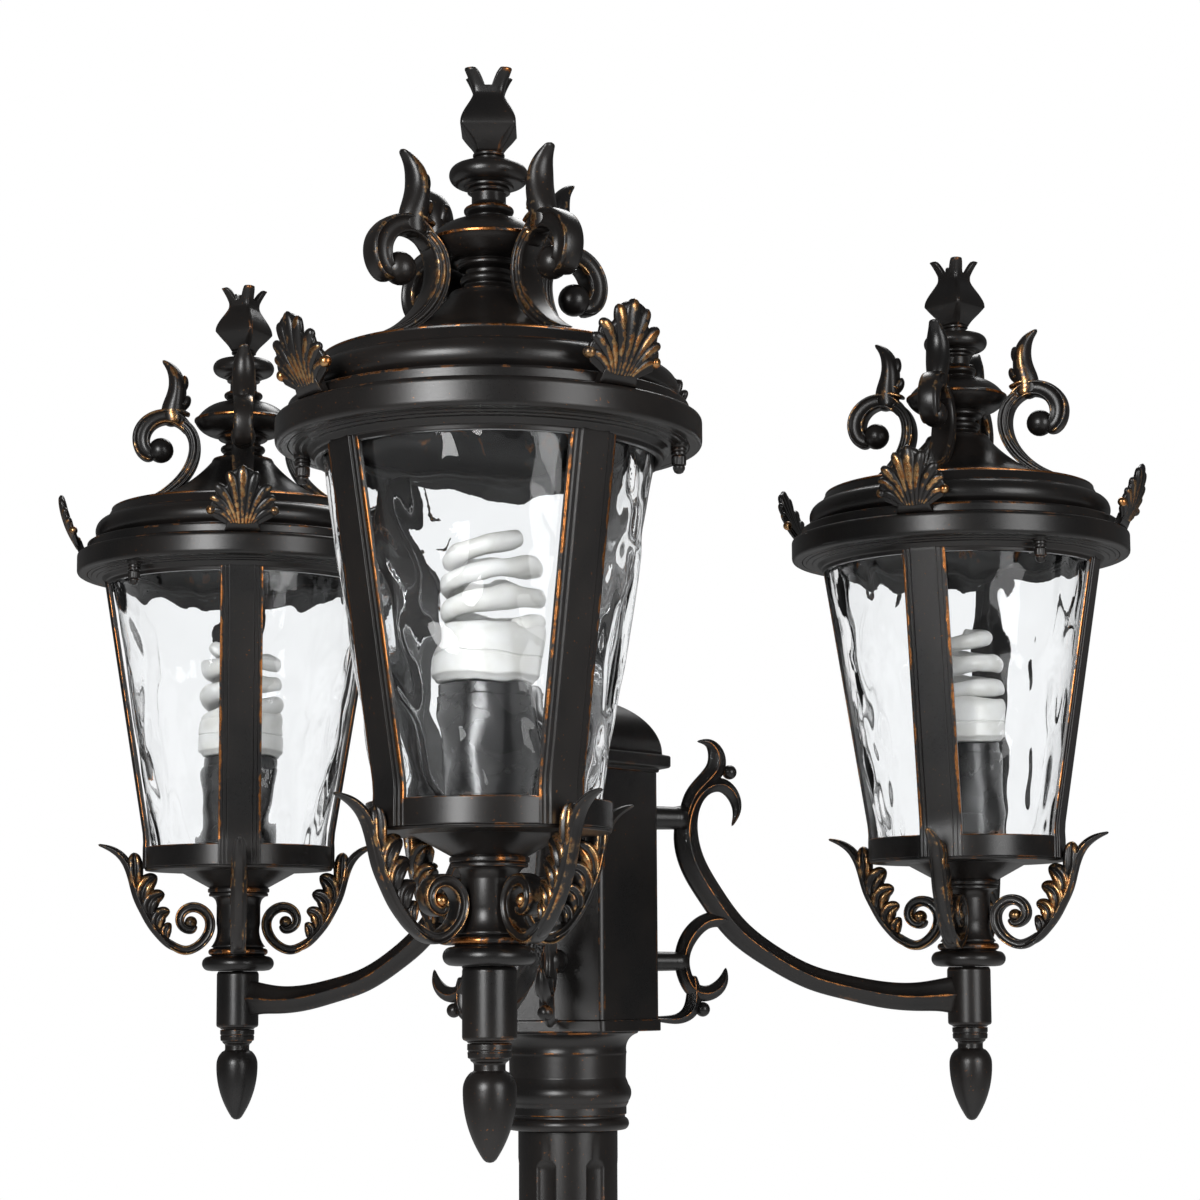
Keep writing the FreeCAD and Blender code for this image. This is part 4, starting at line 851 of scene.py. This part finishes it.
scroll = {
    "low": 411.0, "rimRub": 0.5, "foldRub": 0.75,
    "stem": [(86, -9.6, 3.4, 9), (73, -4.8, 6.6, 14), (60, 3.6, 8.8, 17), (49, 15.5, 10, 18.5),
             (42.6, 29, 10.4, 19), (41.4, 42, 10.2, 18.5), (45.6, 54, 9.6, 17), (54, 62, 8.8, 15)],
    "curl": [(45.6, 52, 8, 13), (52.6, 61.2, 11, 15), (61.4, 65.6, 12.6, 16), (71, 65.4, 13.6, 16),
             (79.8, 61, 14.6, 16), (86, 52.6, 15.4, 16), (87, 43, 15, 16), (82.8, 34.2, 13.6, 15),
             (75, 30.6, 11.6, 13.5)],
    "eye": (70.4, 36.6, 11.0, 10.4),
    "leaf": [(58, 58, 16, 15), (60, 70, 21, 17), (58.4, 81, 18.5, 19.5), (57, 91, 15.8, 20),
             (58.2, 100.6, 13, 18.5), (62.4, 109, 8.8, 13), (70, 116, 2.4, 6.5)],
    "lobes": [[(54, 74, 8, 10), (49.4, 80, 9, 9.5), (46.8, 85.6, 3.6, 5)],
              [(55.4, 88, 8, 10), (51.4, 96, 8.4, 9), (50.6, 103.4, 3.4, 5)]],
    "bands": [[(45.6, 68, 3.2, 13), (53, 70.6, 4.6, 16.5), (62, 72, 4.4, 16), (69.6, 71.4, 3, 12)],
              [(48.6, 75.6, 2.6, 11), (55, 78.4, 4, 14), (63.6, 79.6, 3, 11.5)]],
}


def scrollShape():
    # ribbed stem on the trumpet, curl with a ball end, two folds across and a flame of a leaf above them
    s = scroll
    fold = roundLoop(16, 2.3)
    fold[:, 2] = s["foldRub"]
    parts = [
        alongCurve(s["stem"], ribbed, 60, 0.4, 0.3),
        alongCurve(s["curl"], strap * (1, 1, s["rimRub"]), 76, 0.5, 0.6),
        alongCurve(s["leaf"], stout, 48, 0.3, 0.9), ballShape(*s["eye"]),
    ]
    parts += [alongCurve(marks, stout, 22, 0.3, 0.7) for marks in s["lobes"]]
    parts += [alongCurve(marks, fold, 24, 0.5, 0.5) for marks in s["bands"]]
    return joined(parts).turned(0, (0, 0, s["low"]))


palmette = {
    "lean": 21.0, "base": 30.0, "thick": 6.5, "foot": 131.9, "low": 355.9, "bulge": 3.0, "reach": 32.0,
    "tall": 56.0, "out": 3.0, "neck": 0.36, "backFoot": 6.0, "backFaces": (-1.2, 1.6), "ribRub": 0.9,
    "block": [(1, -3.5), (1, -3.4), (0.97, 0), (0.83, 10.4), (0.80, 11)],
    "middle": [(0, 7, 5, 5), (0, 22, 8, 6.6), (0, 40, 11.4, 7.2), (0, 50, 10.8, 6.4), (0, 56, 6, 4.4)],
    "ribs": [
        [(2.6, 7, 4.4, 5), (4.6, 24, 7.2, 6.2), (7.6, 39, 9.4, 6.6), (10, 46.8, 8.8, 6), (12.2, 50.8, 5, 4)],
        [(4.6, 7.5, 4.2, 5), (9.4, 22.6, 7, 6.2), (15.4, 32.8, 9, 6.4), (19.8, 37.4, 8, 5.8),
         (23.6, 38.8, 4.4, 3.8)],
        [(6.4, 8, 4.2, 5), (12.6, 19.4, 7, 6), (19.4, 26.4, 8.2, 6.2), (24, 28.6, 6.8, 5.4),
         (27, 28.2, 3.6, 3.4)],
        [(8.2, 8, 4.2, 5), (14.2, 14.8, 6.2, 5.6), (20.2, 18.4, 6.6, 5.4), (24.6, 18.8, 5, 4.6)],
    ],
    "ball": (25.8, 18.8, 3.8),
    "back": [(-24, 13), (-26.6, 20), (-25.4, 26), (-22.6, 29.4), (-21.6, 36.4), (-15.6, 38), (-12.4, 41),
             (-10.6, 48.6), (-5, 53), (0, 54.4)],
}


def palmetteShape():
    # plump ribs that fan out from a plain plinth, on a thin back; the leaf bulges and all of it leans out
    p = palmette
    rib = roundLoop(18, 2.0)
    rib[:, 2] = p["ribRub"] * np.clip(-rib[:, 1], 0, 1) ** 9
    ribs = [alongCurve(p["middle"], rib, 34, 0.3, 0.5)]
    for marks in p["ribs"]:
        right = alongCurve(marks, rib, 32, 0.3, 0.5)
        left = Shape(right.co * (-1, 1, 1), right.quads[:, ::-1], right.tris[:, ::-1], right.line)
        ribs += [right, left]
    x, z, radius = p["ball"]
    ribs += [ballShape(side * x, z, radius, count=14, line=p["ribRub"]) for side in (1, -1)]
    left = curveThrough(p["back"], 33)
    edge = np.concatenate((left, left[-2::-1] * (-1, 1)))
    s = np.linspace(-1, 1, len(edge))[None, :]
    v = np.linspace(0, 1, 14)[:, None]
    x = p["neck"] * p["base"] * s * (1 - v) + edge[None, :, 0] * v
    z = p["backFoot"] * (1 - v) + edge[None, :, 1] * v
    back = slabShape(*(np.stack((x, y + 0 * x, z), -1) for y in p["backFaces"]))
    leaf = joined(ribs + [back])
    x, y, z = leaf.co.T
    swell = p["bulge"] * (1 - (x / p["reach"]) ** 2) * np.sin(np.clip(z / p["tall"], 0, 1) * math.pi)
    leaf.co = np.stack((x, y - (p["out"] + swell), z), -1)
    wide, high = np.array(p["block"]).T[:, :, None]
    wide = wide * (p["base"] / 2)
    rows = profileThrough((-1, -1, 0.1), (1, -1, 0.1), (1, 1, 0.16), (-1, 1, 0.16), closed=True, steps=4)
    deep = -p["thick"] * (0.5 + 0.5 * rows[:, 1])
    plinth = gridShape(capped(np.stack((wide * rows[:, 0], deep + 0 * wide, high + 0 * deep), -1)))
    whole = joined([leaf, plinth])
    c, s = math.cos(math.radians(p["lean"])), math.sin(math.radians(p["lean"]))
    x, y, z = whole.co.T
    whole.co = np.stack((x, y * c - z * s - p["foot"], np.maximum(y * s + z * c, 0) + p["low"]), -1)
    return whole


for name, one, node, edge in (
    ("acanthusBrackets", bracketShape(), "brackets", (0.12, 0.6, 0.4)),
    ("roofScrolls", scrollShape(), "roof_scrolls", (0.13, 0.6, 0.36)),
    ("rimPalmettes", palmetteShape(), "palmettes", (0.2, 0.8, 0.12)),
):
    onLanterns(name, ringed(one, 4, math.pi / 4), bronzeOrnament, [node], edge)
print("ornament made")


# lantern: lamp and its cover

lamp = {
    "low": 182.3, "ballast": 36.0, "ballastTop": 220.3, "cap": 13.2, "coil": 27.0, "tube": 7.0, "turns": 3.1,
    "start": 0.9, "narrowing": 10.0, "narrowSpan": (0.78, 1.0), "sunk": 5.0, "endShare": 0.012, "top": 275.0,
}


def lampShape():
    # enamel housing, and a tube that winds up as a helix which narrows in its last turn
    w = lamp
    low, ballast, shelf = w["low"], w["ballast"], w["ballastTop"]
    body = latheShape(
        (0, low - 29), (9, low - 29, 1), (w["cap"], low - 25, 1), (w["cap"], low, 0.5), (31, low, 2),
        (33.5, low + 3, 2), (ballast, low + 5, 1.2), (ballast, low + 17, 0.5),
        (ballast - 0.7, low + 17.4, 0.2), (ballast - 0.7, low + 18.4, 0.2), (ballast, low + 18.8, 0.5),
        (ballast - 1, shelf - 6, 3), (ballast - 6, shelf, 3), (0, shelf), count=72,
    )
    t = np.linspace(0, 1, 190)
    angle = 2 * math.pi * w["turns"] * t - w["start"]
    radius = w["coil"] - w["narrowing"] * smooth(*w["narrowSpan"], t)
    z = shelf - w["sunk"] + (w["top"] - shelf + w["sunk"]) * t
    ends = roundEnd(np.minimum(t, 1 - t) / w["endShare"])
    return joined([body, tubeShape(polar(radius, angle, z), w["tube"] * ends)])


cover = {"radius": 31.0, "wall": 2.2, "low": 80.1, "high": 182.0}


def coverShape():
    # plain tube with a shallow step near its top
    radius, low, high = cover["radius"], cover["low"], cover["high"]
    inner = radius - cover["wall"]
    return latheShape(
        (inner, low), (radius, low, 0.4), (radius, high - 9, 0.4), (radius - 0.8, high - 8.2, 0.3),
        (radius - 0.8, high - 1, 0.6), (inner, high, 0.6), count=64, closed=True,
    )


onLanterns("spiralLamp", lampShape(), enamel, ["bulb"])
onLanterns("holderSleeve", coverShape(), holderDark, ["lampholder_cover"])
print("lamps made")


# arms, hub and post, in millimetres from the floor on the post's axis

hubLow, hubHigh = (v.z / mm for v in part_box("hub_box"))
seatHeight = seats["front"][0][2] / mm
reach = math.hypot(*seats["front"][0][:2]) / mm
hub = {
    "flat": 61.5, "skirt": 63.1, "skirtTop": 8.7, "corner": 3.0,
    "capFlat": 71.0, "capThick": 13.4, "capCorner": 2.2, "domeFlat": 65.4, "domeRise": 47.0,
}

armBar = loopOf([  # lozenge: hollowed faces that meet in a sharp rubbed ridge half way up each side
    (1, 0, 0), (0.97, 0.2, 0.1), (0.88, 0.34, 0.15), (0.6, 0.5, 0), (0.3, 0.7, 0), (0.1, 0.9, 0),
    (0.05, 0.97, 0.5), (0, 1, 1),
])
arm = {  # out from the hub's face, height above the hub's foot, bar height, depth
    "main": [(282, 25, 32, 17), (268, 25, 27, 16), (248, 24, 23.5, 15.5), (216, 25.5, 21.5, 15),
             (180, 32, 20, 15), (150, 39.5, 19.5, 15), (113, 57, 19.5, 15), (83, 78, 21, 15),
             (60, 106, 21.5, 15), (44, 133, 22, 15), (40, 156, 20, 15), (46, 177, 14.5, 14),
             (58, 189.5, 11.5, 12.5), (71.5, 192, 11.5, 12), (81.5, 184, 10.5, 11), (84.5, 172, 7, 9),
             (80, 159.5, 1.2, 2)],
    "leaf": [(38, 160, 9, 11), (46, 183, 13, 12), (59.5, 197, 15, 12), (67, 207.5, 16, 11.5),
             (66, 219, 13, 10.5), (60, 225.4, 7, 8), (50.5, 226.4, 1.2, 2)],
    "lower": [(84, 82, 6, 11), (74, 85, 11, 13), (59, 85, 12.5, 13), (44, 74.5, 13.5, 13),
              (36, 57.5, 12.5, 13), (38.5, 40, 12, 13), (47, 29.5, 12.5, 12), (61, 29, 12, 11),
              (71, 38, 8.5, 9), (73.5, 48, 1.4, 2)],
    "tail": [(44, 42, 7, 10), (45.6, 26, 13, 11), (43, 16, 13, 11), (35, 9.5, 9.5, 9), (22, 8, 6, 7.5),
             (3, 9.5, 2.2, 5)],
    "balls": [(78.5, 202.5), (53, 15.5)], "ball": 5.8, "stubs": [(0.834, 9.5), (0.268, 7.8)], "stubEnd": 38.0,
    "sleeve": 17.7, "sleeveLow": -49.0, "ballRub": 0.25, "endCap": 0.9,
    "bars": {"main": (150, 0.2), "leaf": (60, 0.3), "lower": (84, 0.3), "tail": (50, 0.3)},  # rows, start cap
}


def armShape():
    # ridged bars and leaves, balls, two stubs to the hub and the sleeve under the lantern
    a = arm
    parts = []
    for name, (count, startCap) in a["bars"].items():
        marks = np.array(a[name], float)
        marks[:, 0] += hub["flat"]
        parts.append(alongCurve(marks, armBar, count, startCap, a["endCap"]))
    parts += [ballShape(hub["flat"] + x, z, a["ball"], line=a["ballRub"]) for x, z in a["balls"]]
    end = a["stubEnd"]
    for share, radius in a["stubs"]:
        stub = latheShape(
            (0, 0.1), (radius + 1.6, 0.1, 0.8), (radius, 3.4, 1.5), (radius * 0.94, end - 8, 1),
            (radius * 1.1, end), (0, end), count=40,
        )
        stub.co = stub.co[:, (2, 0, 1)] + (hub["flat"], 0, share * (hubHigh - hubLow))
        parts.append(stub)
    lift = seatHeight - hubLow
    low, radius = lift + a["sleeveLow"], a["sleeve"]
    sleeve = latheShape(
        (5.2, low + 0.1), (13.8, low + 0.1, 0.5), (14.6, low + 1.2, 0.5), (radius - 0.7, low + 2.2, 0.6),
        (radius, low + 3.6, 0.9), (radius, lift - 2.4, 0.8), (radius - 1.2, lift - 0.1, 0.7),
        (5.2, lift - 0.1), count=72, closed=True,
    )
    parts.append(sleeve.turned(0, (reach, 0, 0)))
    return joined(parts).turned(-math.pi / 2, (0, 0, hubLow))


def hubBoxShape():
    # hexagonal box with a skirt, corners cut to a narrow face
    flat, skirt, step = hub["flat"], hub["skirt"], hubLow + hub["skirtTop"]
    rings = profileThrough(
        (nearAxis, hubLow + 0.1), (skirt, hubLow + 0.1, 0.8), (skirt, step, 0.9), (flat, step + 0.5, 0.4),
        (flat, hubHigh - 0.1, 0.4), (nearAxis, hubHigh - 0.1),
    )
    return manySided(6, rings, hub["corner"], 3)


def hubCapShape():
    # flange with a rounded edge and a dome whose six faces are quarter ellipses
    flat, wide, dome, rise = hub["flat"], hub["capFlat"], hub["domeFlat"], hub["domeRise"]
    shelf = hubHigh + hub["capThick"]
    arch = np.linspace(0, math.pi / 2, 26)[:-1]
    rings = profileThrough(
        (nearAxis, hubHigh), (flat + 1.2, hubHigh, 0.3), (flat + 2, hubHigh + 2.4, 0.6),
        (wide - 1.4, hubHigh + 3.2, 0.6), (wide, hubHigh + 4.4, 0.8), (wide, shelf - 1, 1.2),
        (dome + 1.6, shelf, 0.8),
        *((dome * math.cos(a), shelf + 0.4 + (rise - 0.5) * math.sin(a), 0) for a in arch),
        (nearAxis, shelf + rise - 0.1),
    )
    return manySided(6, rings, hub["capCorner"], 4)


postLow, postHigh = (v.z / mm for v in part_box("post"))
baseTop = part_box("post_base")[1].z / mm
collar = {"ring": 9.5, "steps": 8, "bore": 26.0, "spigot": 31.7, "spigotLong": 60.0}


def collarShape():
    # flare under the hub, neck, bulge, fine steps and the ring that sits on the post
    c = collar
    bore, spigot, foot = c["bore"], c["spigot"], postHigh - c["spigotLong"]
    step = (hubLow - postHigh - c["ring"]) / c["steps"]
    low = postHigh + c["ring"]
    return latheShape(
        (bore, foot), (spigot, foot), (spigot, postHigh + 0.1), (44, postHigh + 0.1, 0.8),
        *arcTo((45.2, postHigh + 0.9), (45.2, low - 0.9), 1.7, 10), (43.8, low, 0.5), (43.8, low + 1.6, 0.4),
        (45, low + 2.2, 0.5), (45, low + step, 0.5), (46.4, low + 1.3 * step, 0.6),
        *arcTo((46.8, low + 1.5 * step), (46.8, low + 3 * step), 2, 10),
        (45.2, low + 3.5 * step, 0.6), (44.6, low + 3.7 * step, 0.3), (45, low + 5.8 * step, 1),
        *arcTo((45.4, low + 6 * step), (53.6, hubLow - 1.8), -3.4, 12),
        (54.4, hubLow - 1.2, 0.5), (54.4, hubLow, 0.4), (bore, hubLow), closed=True,
    )


post = {
    "radius": 38.0, "flutes": 6, "width": 15.4, "depth": 3.0, "gap": 21.0, "turn": 11.7, "hollow": 1.2,
    "lipRub": 0.25, "lipIn": (0.75, 0.98), "lipOut": (1.22, 1.02), "rows": 22, "columns": 216, "plain": 60.0,
}


def postShape():
    # radius minus a round flute: depth * root of (1 - offset squared), sharpened by the power hollow;
    # offset is the distance from the flute's middle line over half its width, also round its ends
    p = post
    half = p["width"] / 2
    low, high = baseTop + p["gap"] + half, postHigh - p["gap"] - half
    ends = p["width"] * np.linspace(0, 1, p["rows"])
    z = np.concatenate((
        [postLow + 0.1, postLow + 0.1, postLow + 1, baseTop], low - half + ends,
        np.linspace(low + p["plain"], high - p["plain"], p["rows"]), high - half + ends,
        [postHigh - 1, postHigh - 0.1, postHigh - 0.1],
    ))[:, None]
    turn = fullTurn(p["columns"])[None, :]
    pitch = 2 * math.pi / p["flutes"]
    around = p["radius"] * ((turn - math.radians(p["turn"]) + pitch / 2) % pitch - pitch / 2)
    beyond = np.maximum(np.maximum(low - z, z - high), 0)
    offset = np.sqrt(around ** 2 + beyond ** 2) / half
    radius = p["radius"] - p["depth"] * np.sqrt(np.clip(1 - offset ** 2, 0, 1)) ** p["hollow"]
    radius[[0, -1]] = 0
    lip = smooth(*p["lipIn"], offset) * smooth(*p["lipOut"], offset) * p["lipRub"]
    return gridShape(polar(radius, turn, z), line=lip)


oneArm = armShape()
for side in sides:
    makePiece(f"scrollArm_{side}", oneArm.turned(seats[side][1]), bronzeArm, [f"arm_{side}"],
              (0.5, 1.4, 0.35))
makePiece("hubBody", hubBoxShape(), bronze, ["hub_box"], (0.35, 1.1, 0.45))
makePiece("hubDome", hubCapShape(), bronze, ["hub_cap"])
makePiece("collarRings", collarShape(), bronze, ["post_collar"], (0.3, 0.9, 0.45))
makePiece("flutedPost", postShape(), bronze, ["post"], (0.35, 1.1, 0.1))
cadFinish = {
    "post_base": bronze, "base_set_screws": steel, "arm_screws": steel, "stem": steel, "roof_studs": steel,
    "lampholder": holderDark,
}
for name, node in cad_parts.items():
    for start, finish in cadFinish.items():
        if name.startswith(start) and not node.hide_render:
            node.data.materials.clear()
            node.data.materials.append(finish)
print("arms, hub and post made,", trianglesAdded, "triangles added")


# stage: pale floor, white surround, soft lamps and the camera

white = (1, 1, 1, 1)
stage = {
    "rings": (0.02, 0.5, 1, 2, 3, 4.5, 9), "columns": 96, "sunk": 0.0005, "fadeStart": 1.2, "fadeEnd": 3.2,
    "floorTone": (0.86, 0.86, 0.86, 1), "ambient": 0.34, "sheen": 0.10,
}


def makeFloor():
    # flat disc; far from the light it turns into the white of the surround
    s = stage
    rings = np.array(s["rings"])[:, None]
    points = polar(rings, fullTurn(s["columns"]), 0 * rings - s["sunk"])
    k = np.arange(len(rings) * s["columns"]).reshape(len(rings), -1)
    beside = np.roll(k, -1, 1)
    quads = np.stack((k[:-1], k[1:], beside[1:], beside[:-1]), -1).reshape(-1, 4)
    mesh = bpy.data.meshes.new("studioFloor")
    mesh.from_pydata(points.reshape(-1, 3).tolist(), [], quads.tolist() + [k[0].tolist()])
    fixed = {"Base Color": s["floorTone"], "Roughness": 0.9, "Specular IOR Level": 0.1}
    material, place, _ = newMaterial("floorPale", fixed)
    distance = place.node("VectorMath", {"operation": "LENGTH"}, {0: place}, "Value")
    seen = place.node("LightPath", {}, {}, "Is Camera Ray")
    glow = place.node("Emission", {}, {"Color": white, "Strength": 1.0})
    mixedWith(material, distance.between(s["fadeStart"], s["fadeEnd"]) * seen, glow)
    mesh.materials.append(material)
    floor = bpy.data.objects.new("studioFloor", mesh)
    bpy.context.scene.collection.objects.link(floor)


def makeWorld():
    # white to the eye and through glass; a plain level for what it lights and a darker room in reflections
    world = bpy.data.worlds.new("studioWhite")
    world.use_nodes = True
    bpy.context.scene.world = world
    tree = world.node_tree
    rays = ("Is Camera Ray", "Is Transmission Ray", "Is Glossy Ray")
    eye, through, mirror = (Wire(tree).node("LightPath", {}, {}, ray) for ray in rays)
    level = stage["ambient"] + (stage["sheen"] - stage["ambient"]) * mirror
    strength = eye.top(through).top(level)
    tree.nodes["Background"].inputs["Color"].default_value = white
    tree.links.new(strength.socket, tree.nodes["Background"].inputs["Strength"])


softboxes = [  # name, place, aim, width, height, watts
    ("keyBox", (-0.85, -2.9, 2.35), (0, -0.1, 1.8), 0.9, 1.3, 64),
    ("fillBox", (2.2, -2.0, 2.2), (0, 0, 1.8), 1.2, 1.6, 34),
    ("rearBox", (0.2, 2.4, 4.6), (0, 0, 1.8), 1.6, 1.2, 36),
]


def makeLights():
    for name, place, aim, width, height, watts in softboxes:
        light = bpy.data.lights.new(name, "AREA")
        light.shape, light.size, light.size_y, light.energy = "RECTANGLE", width, height, watts
        lampObject = bpy.data.objects.new(name, light)
        bpy.context.scene.collection.objects.link(lampObject)
        lampObject.location = place
        lampObject.rotation_euler = lookAlong(np.array(aim) - np.array(place), 0.0).to_euler()
        lampObject.visible_camera = False


def lookAlong(way, roll):
    # axes of a lamp or camera that looks along way, upright but for its roll
    forward = np.asarray(way, float) / np.linalg.norm(way)
    right = np.cross(forward, (0, 0, 1))
    right /= np.linalg.norm(right)
    up = np.cross(right, forward)
    c, s = math.cos(roll), math.sin(roll)
    right, up = c * right + s * up, c * up - s * right
    return Matrix(np.stack((right, up, -forward), -1).tolist())


view = {
    "azimuth": 8.06, "distance": 2.1094, "pan": -0.724, "pitch": 6.703, "roll": -0.331, "below": -0.009,
    "focal": 2720.9, "centreY": 660.0, "pixels": 1200, "sensor": 36.0,
}


def makeCamera():
    # from the photograph: bearing, distance, turn of the lens and its focal length in pixels
    v = view
    azimuth, heading = math.radians(v["azimuth"]), math.radians(v["azimuth"] + v["pan"])
    pitch = math.radians(v["pitch"])
    camera = bpy.data.cameras.new("photoCamera")
    camera.sensor_width = v["sensor"]
    camera.lens = v["sensor"] * v["focal"] / v["pixels"]
    camera.shift_y = (v["centreY"] / v["pixels"]) - 0.5
    cameraObject = bpy.data.objects.new("photoCamera", camera)
    bpy.context.scene.collection.objects.link(cameraObject)
    x, y = v["distance"] * math.sin(azimuth), -v["distance"] * math.cos(azimuth)
    cameraObject.location = (x, y, seats["front"][0][2] + v["below"])
    way = (-math.sin(heading) * math.cos(pitch), math.cos(heading) * math.cos(pitch), math.sin(pitch))
    cameraObject.rotation_euler = lookAlong(way, math.radians(v["roll"])).to_euler()
    bpy.context.scene.camera = cameraObject


makeFloor()
makeWorld()
makeLights()
makeCamera()
bpy.context.scene.view_settings.view_transform = "Standard"
print("stage made")
